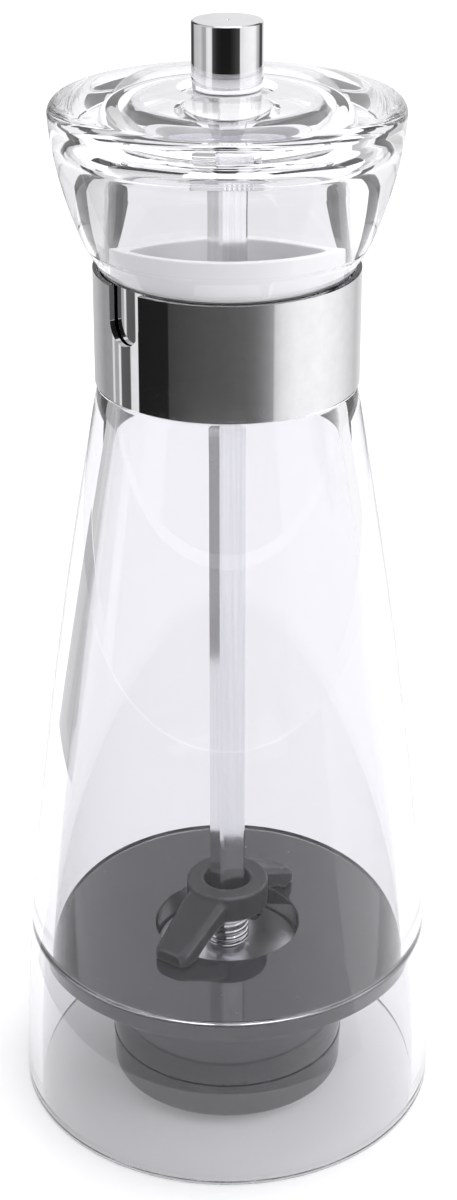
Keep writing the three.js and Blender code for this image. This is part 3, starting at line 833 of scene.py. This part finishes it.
@dataclass
class Collar:
    """Two chrome sleeves over the neck, each with a round-ended notch from its top edge."""

    notch_width: float = 6.6
    notch_depth: float = 8.4
    outer_turn: float = -139.0
    wall: float = 0.8
    edge: float = 0.16

    def sleeve(self, name: str, node: str, turn: float) -> Thing:
        """Makes one sleeve in a CAD node's place.

        Args:
            name: The object's name.
            node: The CAD node that gives its foot, top and radius.
            turn: Where the notch stands, in degrees.

        Returns:
            The sleeve.
        """
        span = Span.of(node)
        half = self.notch_width / 2
        centre = span.top - self.notch_depth + half
        edge_angle = math.asin(half / span.radius)
        inside = [edge_angle * math.sin(math.pi * (i / 16 - 0.5)) for i in range(17)]
        steps = 176
        rest = [edge_angle + (2 * math.pi - 2 * edge_angle) * i / steps for i in range(1, steps)]
        bm = bmesh.new()

        def vertex(angle: float, z: float) -> Vertex:
            """Adds a point of the sleeve's skin."""
            a = angle + math.radians(turn)
            return bm.verts.new((span.radius * math.cos(a) * MM, span.radius * math.sin(a) * MM, z * MM))

        columns: list[list[Vertex]] = []
        for a in inside:
            drop = math.sqrt(max(half**2 - (span.radius * math.sin(a)) ** 2, 0))
            columns.append([vertex(a, span.foot), vertex(a, centre - drop)])
        sides = (columns[0], columns[-1])
        lips = [vertex(-edge_angle, span.top), vertex(edge_angle, span.top)]
        outer = [[vertex(a, span.foot), vertex(a, span.top)] for a in rest]
        strip(bm, columns)
        bm.faces.new((sides[1][0], outer[0][0], outer[0][1], lips[1], sides[1][1]))
        strip(bm, outer)
        bm.faces.new((outer[-1][0], sides[0][0], sides[0][1], lips[0], outer[-1][1]))
        for face in bm.faces:
            if face.calc_center_median().to_2d().dot(face.normal.to_2d()) < 0:
                face.normal_flip()
            face.smooth = True
        made = linked(name, as_mesh(bm, name))
        thick = made.modifiers.new("wall", "SOLIDIFY")
        thick.thickness = self.wall * MM
        thick.offset = -1
        thick.use_even_offset = True
        soft = made.modifiers.new("edge", "BEVEL")
        soft.width = self.edge * MM
        soft.segments = 3
        soft.limit_method = "ANGLE"
        soft.angle_limit = math.radians(50)
        flat = made.modifiers.new("flat", "WEIGHTED_NORMAL")
        flat.keep_sharp = False
        flat.weight = 100
        return baked(made)

    def build(self) -> None:
        """Makes both sleeves."""
        inner = self.sleeve("inner_sleeve", "collar_inner_sleeve", 0)
        dress(inner, SLEEVE, Piece.STAND, "collar_inner_sleeve")
        outer = self.sleeve("outer_sleeve", "collar_outer_sleeve", self.outer_turn)
        dress(outer, SLEEVE, Piece.SLEEVE, "collar_outer_sleeve")


@dataclass
class Head:
    """The thick clear turning head, its drive insert, the nylon washer and the guide ring."""

    foot_inset: float = 0.7
    collar_radius: float = 20.15
    band_height: float = 3.2
    band_out: float = 1.15
    rim_drop: float = 3.5
    rim_round: float = 1.9
    cavity_radius: float = 17.4
    cavity_draft: float = 0.4
    cavity_depth: float = 19.5
    cavity_round: float = 5.2
    recess_radius: float = 6.35
    recess_depth: float = 1.2
    hole: float = 2.575
    insert_knurls: float = 44
    washer_bore: float = 2.55
    guide_bore: float = 13.9
    guide_radius: float = 15.45
    guide_step: float = 1.2
    guide_lip: float = 0.45
    span: Span = field(default_factory=lambda: Span.of("head"))

    def outline(self) -> list[Row]:
        """Outline of the clear head, up the outside and down the inside."""
        foot, top, rim = self.span.foot, self.span.top, self.span.radius
        ceiling = foot + self.cavity_depth
        widest = top - self.rim_drop
        band = Vector((self.collar_radius + self.band_out, foot + self.band_height))
        side = bent(
            band + Vector((0.25, 0.45)),
            Vector((rim - 0.5, (band.y + widest) / 2 + 1)),
            Vector((rim, widest)),
            22,
        )
        shoulder = Vector((rim - self.rim_round, widest + self.rim_round))
        dome = bent(
            shoulder,
            Vector(((rim + self.recess_radius) / 2, top)),
            Vector((self.recess_radius + 1, top)),
            22,
        )
        edge = [
            Row(rim - self.rim_round * (1 - math.cos(a)), widest + self.rim_round * math.sin(a))
            for a in (math.pi / 2 * i / 8 for i in range(1, 8))
        ]
        return [
            Row(self.collar_radius - self.foot_inset, foot, 0.4),
            Row(band.x, band.y, 0.35),
            Row(band.x - 0.12, band.y + 0.3, 0.1),
            *side,
            *edge,
            *dome,
            Row(self.recess_radius, top - self.recess_depth, 0.5),
            square(self.hole, top - self.recess_depth),
            square(self.hole, ceiling),
            Row(self.cavity_radius, ceiling, self.cavity_round),
            Row(self.cavity_radius + self.cavity_draft, foot, 0.3),
        ]

    def build(self) -> None:
        """Makes the head and what sits in it."""
        dress(turned("clear_head", self.outline(), 192), CLEAR_HEAD, Piece.HEAD, "head")
        self.build_insert()
        washer("nylon_washer", "knob_washer", self.washer_bore, 64, NYLON, Piece.HEAD)
        self.build_guide()

    def build_insert(self) -> None:
        """Makes the drive insert: a knurled plate with a square hole."""
        span = Span.of("drive_insert")
        rows = [
            square(self.hole, span.foot, soft=0.15),
            Row(span.radius, span.foot, 0.25),
            Row(span.radius, span.top, 0.25),
            square(self.hole, span.top, soft=0.15),
        ]
        blank = turned("drive_insert_plate", rows, 352)
        rule = ToothRule(
            "knurl", ALUMINIUM, teeth=self.insert_knurls, depth=0.28 * MM, twist=0.0, foot=span.foot * MM,
            height=MM, above=(span.radius - 0.5) * MM, below=1.0,
        )
        dress(rule.applied(blank), ALUMINIUM, Piece.HEAD, "drive_insert")

    def build_guide(self) -> None:
        """Makes the nylon ring that centres the head on the neck."""
        span = Span.of("head_guide_ring")
        flange_foot, flange_top = span.foot + self.guide_step, span.foot + 2 * self.guide_step
        rows = [
            Row(self.guide_bore, span.foot, 0.3),
            Row(self.guide_radius, span.foot, 0.2),
            Row(self.guide_radius, flange_foot),
            Row(span.radius, flange_foot, 0.15),
            Row(span.radius, flange_top, 0.15),
            Row(span.radius - self.guide_lip, flange_top),
            Row(span.radius - self.guide_lip, span.top, 0.3),
            Row(self.guide_bore, span.top, 0.3),
        ]
        dress(turned("guide_ring", rows, 128), NYLON, Piece.STAND, "head_guide_ring")


@dataclass
class Knob:
    """The chromed adjusting knob, a plain cylinder with a small centre mark."""

    chamfer: float = 0.22
    bore: float = 2.25
    bore_depth: float = 8.2
    mark: float = 0.28
    span: Span = field(default_factory=lambda: Span.of("knob"))

    def build(self) -> None:
        """Makes the knob."""
        foot, top, radius = self.span.foot, self.span.top, self.span.radius
        rows = [
            Row(0, foot + self.bore_depth + 0.5),
            Row(self.bore, foot + self.bore_depth, 0.2),
            Row(self.bore, foot, 0.3),
            Row(radius - 0.12, foot, 0.15),
            Row(radius, foot + 0.3, 0.15),
            Row(radius, top - self.chamfer, 0.08),
            Row(radius - self.chamfer, top, 0.08),
            Row(self.mark, top, 0.1),
            Row(0, top - 0.25),
        ]
        dress(turned("adjusting_knob", rows, 160, closed=False), CHROME, Piece.KNOB, "knob")


@dataclass
class Drive:
    """The square shaft with its rotor, feed plate, washer and screw."""

    side: float = 4.55
    corner: float = 0.28
    thread: float = 1.95
    spindle: float = 2.15
    tang: float = 3.0
    square_top: float = 167.25
    square_foot: float = 32.6
    tang_top: float = 23.3
    slot_width: float = 4.6
    slot_inner: float = 6.9
    slot_turn: float = 66.0
    rotor_teeth: float = 12
    rotor_top: float = 6.6
    rotor_foot: float = 10.8
    tooth_depth: float = 1.3
    tooth_twist: float = -50.0
    washer_bore: float = 2.45
    shaft: Span = field(default_factory=lambda: Span.of("shaft"))

    def build(self) -> None:
        """Makes the whole drive train."""
        self.build_shaft()
        self.build_plate()
        self.build_rotor()
        self.build_screw()

    def build_shaft(self) -> None:
        """Makes the shaft: stud, square bar, spindle and tang, with a tapped lower end."""
        half, tang = self.side / 2, self.tang / 2
        foot, top = self.shaft.foot, self.shaft.top
        rows = [
            Row(0, top),
            Row(self.thread - 0.4, top),
            Row(self.thread, top - 0.4),
            Row(self.thread, self.square_top + 0.3),
            Row(self.thread - 0.25, self.square_top + 0.3),
            Row(self.thread - 0.25, self.square_top),
            square(half - 0.3, self.square_top, self.corner),
            square(half, self.square_top - 0.3, self.corner),
            square(half, self.square_foot + 0.3, self.corner),
            square(half - 0.3, self.square_foot, self.corner),
            Row(self.spindle, self.square_foot),
            Row(self.spindle, self.tang_top + 0.15),
            Row(self.spindle - 0.15, self.tang_top),
            square(tang, self.tang_top, 0.3),
            square(tang, foot, 0.3),
            Row(1.15, foot),
            Row(1.15, foot + 8.4),
            Row(0, foot + 8.9),
        ]
        dress(turned("square_shaft", rows, 64, closed=False), ALUMINIUM, Piece.DRIVE, "shaft")

    def build_plate(self) -> None:
        """Makes the polished feed plate with its two slots."""
        span = Span.of("feed_plate")
        reach = span.radius - 0.8 - self.slot_inner
        half = self.slot_width / 2
        rows = tube(self.spindle + 0.3, span.radius, span.foot, span.top, 0.12)
        plate = turned("feed_plate_disc", rows, 128)
        tools = []
        for turn in (self.slot_turn, self.slot_turn + 180):
            along, across = heading(turn)
            arc = [math.pi * (i / 10 - 0.5) for i in range(11)]
            start, end = self.slot_inner + half * 0.4, self.slot_inner + reach
            outline = [(end - 0.6, -half), (end, -half + 0.6), (end, half - 0.6), (end - 0.6, half)]
            outline += [(start - half * 0.4 * math.cos(a), -half * math.sin(-a)) for a in reversed(arc)]

            def place(u: float, v: float, d: float, a: Vector = along, c: Vector = across) -> Vector:
                """Gives a point of the slot from its reach, width and height."""
                return a * u + c * v + Vector((0, 0, d))

            tools.append(prism(f"slot_{turn:.0f}", outline, place, span.foot - 1, span.top + 1))
        dress(carved(plate, tools), BRUSHED, Piece.DRIVE, "feed_plate")

    def build_rotor(self) -> None:
        """Makes the rotor burr: a flared cone with twisted teeth."""
        span = Span.of("rotor_burr")
        height = span.top - span.foot

        def flare(z: float) -> float:
            """Radius of the rotor at a height."""
            share = max(span.top - z, 0) / height
            return self.rotor_top + (self.rotor_foot - self.rotor_top) * share**0.7

        hole = self.tang / 2 + 0.3
        rows = [
            square(hole, span.foot),
            *curve(span.foot, span.top, 20, flare),
            square(hole, span.top),
        ]
        rule = ToothRule(
            "rotor_teeth", BURR, teeth=self.rotor_teeth, depth=self.tooth_depth * MM,
            twist=math.radians(self.tooth_twist), foot=span.foot * MM, height=height * MM,
            above=4.0 * MM, below=1.0,
        )
        dress(rule.applied(turned("rotor", rows, 288)), BURR, Piece.DRIVE, "rotor_burr")

    def build_screw(self) -> None:
        """Makes the washer and the screw that hold the rotor."""
        washer("rotor_washer_disc", "rotor_washer", self.washer_bore, 64, STEEL, Piece.DRIVE)
        span = Span.of("rotor_screw")
        pan = screw("rotor_screw_pan", span.foot, span.top, span.radius, 1.0, 1.4)
        dress(pan, STEEL, Piece.DRIVE, "rotor_screw")


def screw(name: str, foot: float, top: float, head: float, shank: float, head_height: float) -> Thing:
    """Makes a pan-headed screw that points up, with a cross recess.

    Args:
        name: The object's name.
        foot: Where its head starts.
        top: Where its point ends.
        head: Radius of the head.
        shank: Radius of the shank.
        head_height: Height of the head.

    Returns:
        The screw.
    """
    rows = [
        Row(0, foot),
        Row(head * 0.7, foot),
        Row(head, foot + head_height * 0.45, head_height * 0.3),
        Row(head, foot + head_height, 0.08),
        Row(shank, foot + head_height, 0.1),
        Row(shank, top - shank * 0.6),
        Row(shank * 0.4, top),
        Row(0, top),
    ]
    made = turned(name, rows, 48, closed=False)
    arm, width = head * 0.55, head * 0.13
    cross = [(-width, -arm), (width, -arm), (width, -width), (arm, -width), (arm, width), (width, width),
             (width, arm), (-width, arm), (-width, width), (-arm, width), (-arm, -width), (-width, -width)]
    recess = prism("recess", cross, lambda u, v, d: Vector((u, v, d)), foot - 1, foot + head_height * 0.6)
    return carved(made, [recess])


@dataclass
class Grinder:
    """The dark moulded housing with its lock ring and the fixed burr."""

    well_radius: float = 12.0
    flange: float = 3.0
    barrel_radius: float = 20.2
    barrel_foot_radius: float = 19.4
    barrel_foot: float = 8.66
    chamber_radius: float = 15.9
    chamber_top: float = 21.9
    spigot_radius: float = 17.7
    mouth: float = 12.6
    lip: float = 1.9
    stator_teeth: float = 16
    stator_bore: float = 12.2
    stator_taper: float = 0.2
    span: Span = field(default_factory=lambda: Span.of("grinder_housing"))

    def build(self) -> None:
        """Makes the housing, the lock ring and the fixed burr."""
        dress(turned("grinder_barrel", self.outline(), 192), DARK, Piece.STAND, "grinder_housing")
        ring = Span.of("lock_ring")
        rows = [
            Row(self.mouth, ring.foot, 0.3),
            Row(ring.radius - 0.2, ring.foot, 0.7),
            Row(ring.radius, ring.top, 0.1),
            Row(self.spigot_radius + 0.3, ring.top, 0.1),
            Row(self.spigot_radius + 0.3, ring.foot + self.lip),
            Row(self.mouth, ring.foot + self.lip, 0.2),
        ]
        dress(turned("lock_ring_cap", rows, 160), DARK, Piece.STAND, "lock_ring")
        self.build_stator()

    def outline(self) -> list[Row]:
        """Outline of the housing, up the outside and down the inside."""
        top, rim, foot = self.span.top, self.span.radius, self.span.foot
        flange_foot = top - self.flange
        barrel = bent(
            Vector((self.barrel_foot_radius, self.barrel_foot + 0.3)),
            Vector((self.barrel_radius, (flange_foot + self.barrel_foot) / 2)),
            Vector((self.barrel_radius, flange_foot - 0.6)),
            14,
        )
        return [
            Row(self.chamber_radius, foot, 0.2),
            Row(self.spigot_radius, foot, 0.4),
            Row(self.spigot_radius, self.barrel_foot),
            Row(self.barrel_foot_radius - 0.2, self.barrel_foot, 0.15),
            *barrel,
            Row(self.barrel_radius, flange_foot, 0.5),
            Row(rim, flange_foot, 0.35),
            Row(rim, top, 0.3),
            Row(self.well_radius, top, 0.3),
            Row(self.well_radius, self.chamber_top, 0.15),
            Row(self.chamber_radius, self.chamber_top, 0.3),
        ]

    def build_stator(self) -> None:
        """Makes the fixed burr, a ring with teeth in its bore."""
        span = Span.of("stator_burr")

        def bore(z: float) -> float:
            """Radius of the burr's bore at a height."""
            return self.stator_bore - self.stator_taper * (span.top - z) / (span.top - span.foot)

        rows = [
            Row(12.0, span.foot),
            Row(span.radius, span.foot, 0.2),
            Row(span.radius, span.top, 0.2),
            *curve(span.top, span.foot + 1, 8, bore),
        ]
        rule = ToothRule(
            "stator_teeth", BURR, teeth=self.stator_teeth, depth=0.7 * MM, twist=0.0, foot=span.foot * MM,
            height=MM, above=MM, below=(span.radius - 1) * MM,
        )
        dress(rule.applied(turned("stator", rows, 256)), BURR, Piece.STAND, "stator_burr")


@dataclass
class Feed:
    """The bridge over the well with its screws, and the spring under its hub."""

    hub_radius: float = 6.8
    hub_bore: float = 3.9
    arm_reach: float = 16.4
    arm_turn: float = 55.0
    tip_width: float = 6.0
    root_width: float = 7.6
    tip_height: float = 2.1
    set_down: float = 0.8
    well_radius: float = 12.0
    hub_height: float = 4.7
    screw_pitch: float = 14.3
    spring_turns: float = 5.5
    wire: float = 0.5
    washer_bore: float = 2.45
    grain: float = 0.22
    lift: float = 1.4  # travel of the shaft, which squeezes the spring
    span: Span = field(default_factory=lambda: Span.of("bridge"))

    def build(self) -> None:
        """Makes the bridge, its screws, the spring and its washer."""
        self.build_bridge()
        self.build_screws()
        self.build_spring()

    def build_bridge(self) -> None:
        """Makes the hub and its two tapering arms as one moulding with soft edges."""
        foot, top = self.span.foot, self.span.top
        hub_foot = top - self.hub_height
        along, across = heading(self.arm_turn)
        rise = Vector((0, 0, 1))
        hub = turned("bridge_hub", tube(self.hub_bore, self.hub_radius, hub_foot, top, 0.3), 96)
        arms = []
        root_top = top - self.set_down
        for side in (1, -1):
            arms.append(self.arm(f"arm_{side}", along * side, across, rise, foot, hub_foot, root_top))
        low, high = hub_foot - 2, top + 2
        rows = [Row(0, low), Row(self.hub_bore, low), Row(self.hub_bore, high), Row(0, high)]
        bore = turned("bore", rows, 96, closed=False)
        carved(hub, arms, "UNION")
        carved(hub, [bore])
        remesh = hub.modifiers.new("grain", "REMESH")
        remesh.mode = "VOXEL"
        remesh.voxel_size = self.grain * MM
        smooth = hub.modifiers.new("soften", "SMOOTH")
        smooth.factor = 0.5
        smooth.iterations = 5
        baked(hub)
        hub.name = "bridge_moulding"
        for polygon in hub.data.polygons:
            polygon.use_smooth = True
        dress(hub, GREY, Piece.STAND, "bridge")

    def arm(self, name: str, along: Vector, across: Vector, rise: Vector, foot: float, hub_foot: float,
            root_top: float) -> Thing:
        """Makes one arm from its hub end to its foot on the disc.

        Args:
            name: The object's name.
            along: Its direction from the axis.
            across: The direction of its width.
            rise: Up.
            foot: Height of the disc that it stands on.
            hub_foot: Height of the hub's underside.
            root_top: Height of its top at the hub.

        Returns:
            The arm.
        """
        inner, reach = self.hub_radius * 0.62, self.arm_reach
        steps = 18
        bm = bmesh.new()
        sections = []
        for i in range(steps + 1):
            s = inner + (reach - inner) * i / steps
            share = max(s - self.hub_radius, 0) / (reach - self.hub_radius)
            half = (self.root_width + (self.tip_width - self.root_width) * share) / 2
            high = root_top + (foot + self.tip_height - root_top) * share
            lift = max((self.well_radius + 0.6 - s) / (self.well_radius + 0.6 - self.hub_radius), 0)
            low = foot + (hub_foot - foot) * min(lift, 1) ** 0.6
            low = min(low, high - 0.9)
            tip = math.sqrt(max(1 - max((s - reach + 1.1) / 1.1, 0) ** 2, 0.12))
            half *= 0.7 + 0.3 * tip
            bevel = 0.9
            shape = [(-half, low), (half, low), (half, high - bevel), (half - bevel, high)]
            shape += [(-half + bevel, high), (-half, high - bevel)]
            sections.append([bm.verts.new((along * s + across * u + rise * v) * MM) for u, v in shape])
        for near, far in zip(sections, sections[1:]):
            for j in range(len(near)):
                k = (j + 1) % len(near)
                bm.faces.new((near[j], near[k], far[k], far[j]))
        bm.faces.new(sections[0])
        bm.faces.new(sections[-1])
        return settle(bm, name)

    def build_screws(self) -> None:
        """Makes the two screws, set round the axis from one."""
        low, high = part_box("bridge_screw_front")
        pattern = screw("bridge_screws", low.z / MM, high.z / MM, 1.7, 0.75, 1.4)
        rule = RoundAxisRule(
            "screw_circle", STEEL, count=2, reach=self.screw_pitch * MM, turn=math.radians(self.arm_turn)
        )
        dress(rule.applied(pattern), STEEL, Piece.STAND, "bridge_screw_front", "bridge_screw_rear")

    def build_spring(self) -> None:
        """Makes the spring and the washer over it."""
        low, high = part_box("spring")
        centre = (Span.of("spring").radius - self.wire) * MM
        seed = turned("spring_coil", [Row(0, 25), Row(1, 25), Row(1, 26), Row(0, 26)], 8, closed=False)
        rule = CoilRule(
            "coil", STEEL, radius=centre, wire=self.wire * MM, turns=self.spring_turns,
            foot=low.z + self.wire * MM * 1.05, rise=high.z - low.z - 2.1 * self.wire * MM,
        )
        spring = dress(rule.applied(seed), STEEL, Piece.STAND, "spring")
        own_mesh(spring)
        washer("spring_washer_disc", "spring_washer", self.washer_bore, 96, STEEL, Piece.STAND)


# ---- Studio -------------------------------------------------------------------------------------


@dataclass(frozen=True)
class Card:
    """A curved studio card round the mill, whose tone changes along its stops.

    Each stop is an angle in degrees from the front, rising to the right, and the tone there.
    """

    name: str
    stops: tuple[tuple[float, float], ...]
    radius: float = 0.32
    foot_radius: float = 0.0  # 0 where the card stands upright
    foot: float = 0.004
    top: float = 0.9
    mirrored: bool = True
    seen_through: bool = True

    def tone(self, angle: float) -> float:
        """Gives the tone at an angle, in between the stops on each side."""
        for (start, low), (end, high) in zip(self.stops, self.stops[1:]):
            if angle <= end:
                return low + (high - low) * (angle - start) / (end - start)
        return self.stops[-1][1]

    def build(self) -> None:
        """Makes the card. Only reflections and what is seen through clear pieces show it."""
        bm = bmesh.new()
        tones = bm.verts.layers.float.new("tone")
        start, end = self.stops[0][0], self.stops[-1][0]
        steps = max(round(end - start), 2)
        columns = []
        for i in range(steps + 1):
            angle = start + (end - start) * i / steps
            x, y = math.sin(math.radians(angle)), -math.cos(math.radians(angle))
            ends = ((self.foot_radius or self.radius, self.foot), (self.radius, self.top))
            columns.append([bm.verts.new((r * x, r * y, z)) for r, z in ends])
            for vertex in columns[-1]:
                vertex[tones] = self.tone(angle)
        for left, right in zip(columns, columns[1:]):
            bm.faces.new((left[0], left[1], right[1], right[0]))
        made = linked(self.name, as_mesh(bm, self.name))
        material, sheet = blank_material(self.name)
        tone = sheet.node("ShaderNodeAttribute", {"attribute_name": "tone"}).outputs["Fac"]
        glow = sheet.node("ShaderNodeEmission", Color=(1, 1, 1, 1), Strength=tone)
        sheet.node("ShaderNodeOutputMaterial", Surface=glow.outputs[0])
        material.cycles.emission_sampling = "NONE"
        made.data.materials.append(material)
        made.visible_camera = False
        made.visible_diffuse = False
        made.visible_shadow = False
        made.visible_glossy = self.mirrored
        made.visible_transmission = self.seen_through


@dataclass
class Studio:
    """Plain pale floor, soft light, reflection cards and the camera."""

    lens: float = 68.94
    eye: tuple[float, float, float] = (0.0, -0.3288, 0.2475)
    tilt: float = 66.57
    shift: tuple[float, float] = (0.001, -0.083)
    cards: tuple[Card, ...] = (
        Card(
            "low_round",
            (
                (-180, 0.7), (-143, 0.5), (-127, 0.33), (-113, 0.36), (-112, 0.8), (-110, 0.8), (-109, 0.4),
                (-104, 0.4), (-103, 0.85), (-101, 0.85), (-100, 0.12), (-89, 0.1), (-88, 0.8), (-80, 0.85),
                (-79, 0.014), (-50, 0.016), (-49, 0.055), (-40, 0.065), (-20, 0.085), (0, 0.1), (14, 0.12),
                (22, 0.15), (28, 0.2), (34, 0.28), (38, 0.36), (39.5, 0.64), (46, 0.82), (60, 1.0), (85, 1.05),
                (105, 0.95), (125, 0.75), (140, 0.6), (160, 0.8), (180, 0.7),
            ),
            top=0.07,
            seen_through=False,
        ),
        Card(
            "high_round",
            (
                (-180, 0.85), (-150, 0.06), (-135, 0.06), (-125, 0.55), (-113, 0.58), (-93, 0.65), (-82, 0.4),
                (-72, 0.42), (-68, 0.8), (-61, 0.9), (-51, 0.85), (-47, 0.07), (-33, 0.02), (-20, 0.012),
                (8, 0.012), (17, 0.024), (30, 0.05), (39, 0.07), (41, 0.83), (57, 0.95), (90, 1.05),
                (100, 0.95), (108, 0.56), (115, 0.5), (125, 0.08), (140, 0.06), (150, 0.85), (180, 0.85),
            ),
            foot=0.075,
            seen_through=False,
        ),
        Card("right", ((41, 1.25), (138, 1.1)), mirrored=False),
        Card("left", ((-137, 0.62), (-98, 0.9)), mirrored=False),
        Card("rear_right", ((139, 0.045), (159, 0.045)), radius=0.4, mirrored=False),
        Card("rear_left", ((-159, 0.045), (-138, 0.045)), radius=0.4, mirrored=False),
        Card("low_right", ((159, 0.05), (176, 0.05)), radius=0.4, top=0.135, mirrored=False),
        Card("low_left", ((-176, 0.05), (-159, 0.05)), radius=0.4, top=0.135, mirrored=False),
        Card("left_band", ((-140, 0.5), (-112, 0.5)), radius=0.3, foot=0.055, top=0.115, mirrored=False),
        Card(
            "left_mat", ((-140, 0.5), (-112, 0.5)), foot_radius=0.15, foot=0.002, top=0.003, mirrored=False
        ),
        Card(
            "mat", ((-110, 0.6), (-85, 0.06), (20, 0.06), (60, 0.7)), foot_radius=0.06, foot=0.002, top=0.003,
            seen_through=False,
        ),
    )

    def build(self) -> None:
        """Makes the whole studio."""
        self.build_camera()
        self.build_floor()
        self.build_world()
        self.build_lamps()
        for card in self.cards:
            card.build()

    def build_camera(self) -> None:
        """Makes the camera, a little above the mill and looking down on it."""
        data = bpy.data.cameras.new("camera")
        data.lens = self.lens
        data.sensor_width = 36
        data.shift_x, data.shift_y = self.shift
        data.clip_start = 0.01
        data.clip_end = 50
        camera = linked("camera", data)
        camera.location = self.eye
        camera.rotation_euler = (math.radians(self.tilt), 0, 0)
        bpy.context.scene.camera = camera
        bpy.context.scene.view_settings.view_transform = "Standard"
        cycles = bpy.context.scene.cycles
        cycles.max_bounces = cycles.transmission_bounces = cycles.glossy_bounces = 28

    def build_floor(self) -> None:
        """Makes the floor, a wide pale disc."""
        bm = bmesh.new()
        bmesh.ops.create_circle(bm, cap_ends=True, segments=96, radius=6)
        floor = linked("floor", as_mesh(bm, "floor"))
        material, sheet = blank_material("pale_floor")
        matt = sheet.node("ShaderNodeBsdfDiffuse", Color=(0.93, 0.93, 0.935, 1))
        glow = sheet.node("ShaderNodeEmission", Color=(1, 1, 1, 1), Strength=0.12)
        lit = sheet.node("ShaderNodeAddShader", _0=matt.outputs[0], _1=glow.outputs[0])
        sheet.node("ShaderNodeOutputMaterial", Surface=lit.outputs[0])
        material.cycles.emission_sampling = "NONE"
        floor.data.materials.append(material)

    def build_world(self) -> None:
        """Fills the room with even white light."""
        world = bpy.data.worlds.new("room")
        world.use_nodes = True
        sheet = Sheet(world.node_tree)
        room = sheet.node("ShaderNodeBackground", Color=(0.985, 0.985, 1.0, 1), Strength=0.95)
        sheet.node("ShaderNodeOutputWorld", Surface=room.outputs[0])
        bpy.context.scene.world = world

    def build_lamps(self) -> None:
        """Hangs two soft boxes, over the mill and to its right."""
        for name, place, size, power in (
            ("overhead", (0.15, 0.35, 1.1), 0.9, 4.0),
            ("side", (0.8, -0.5, 0.7), 0.7, 3.0),
        ):
            data = bpy.data.lights.new(name, "AREA")
            data.size = size
            data.energy = power
            lamp = linked(name, data)
            lamp.location = place
            lamp.rotation_euler = (Vector((0, 0, 0.08)) - Vector(place)).to_track_quat("-Z", "Y").to_euler()


def main() -> None:
    """Builds the mill and its studio in order."""
    logging.basicConfig(level=logging.INFO, format="%(name)s: %(message)s")
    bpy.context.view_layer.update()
    Studio().build()
    for part in (ClearBody(), Collar(), Head(), Knob(), Drive(), Grinder(), Feed()):
        part.build()
        LOG.info("built %s", type(part).__name__)


if __name__ == "__main__":
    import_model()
    main()
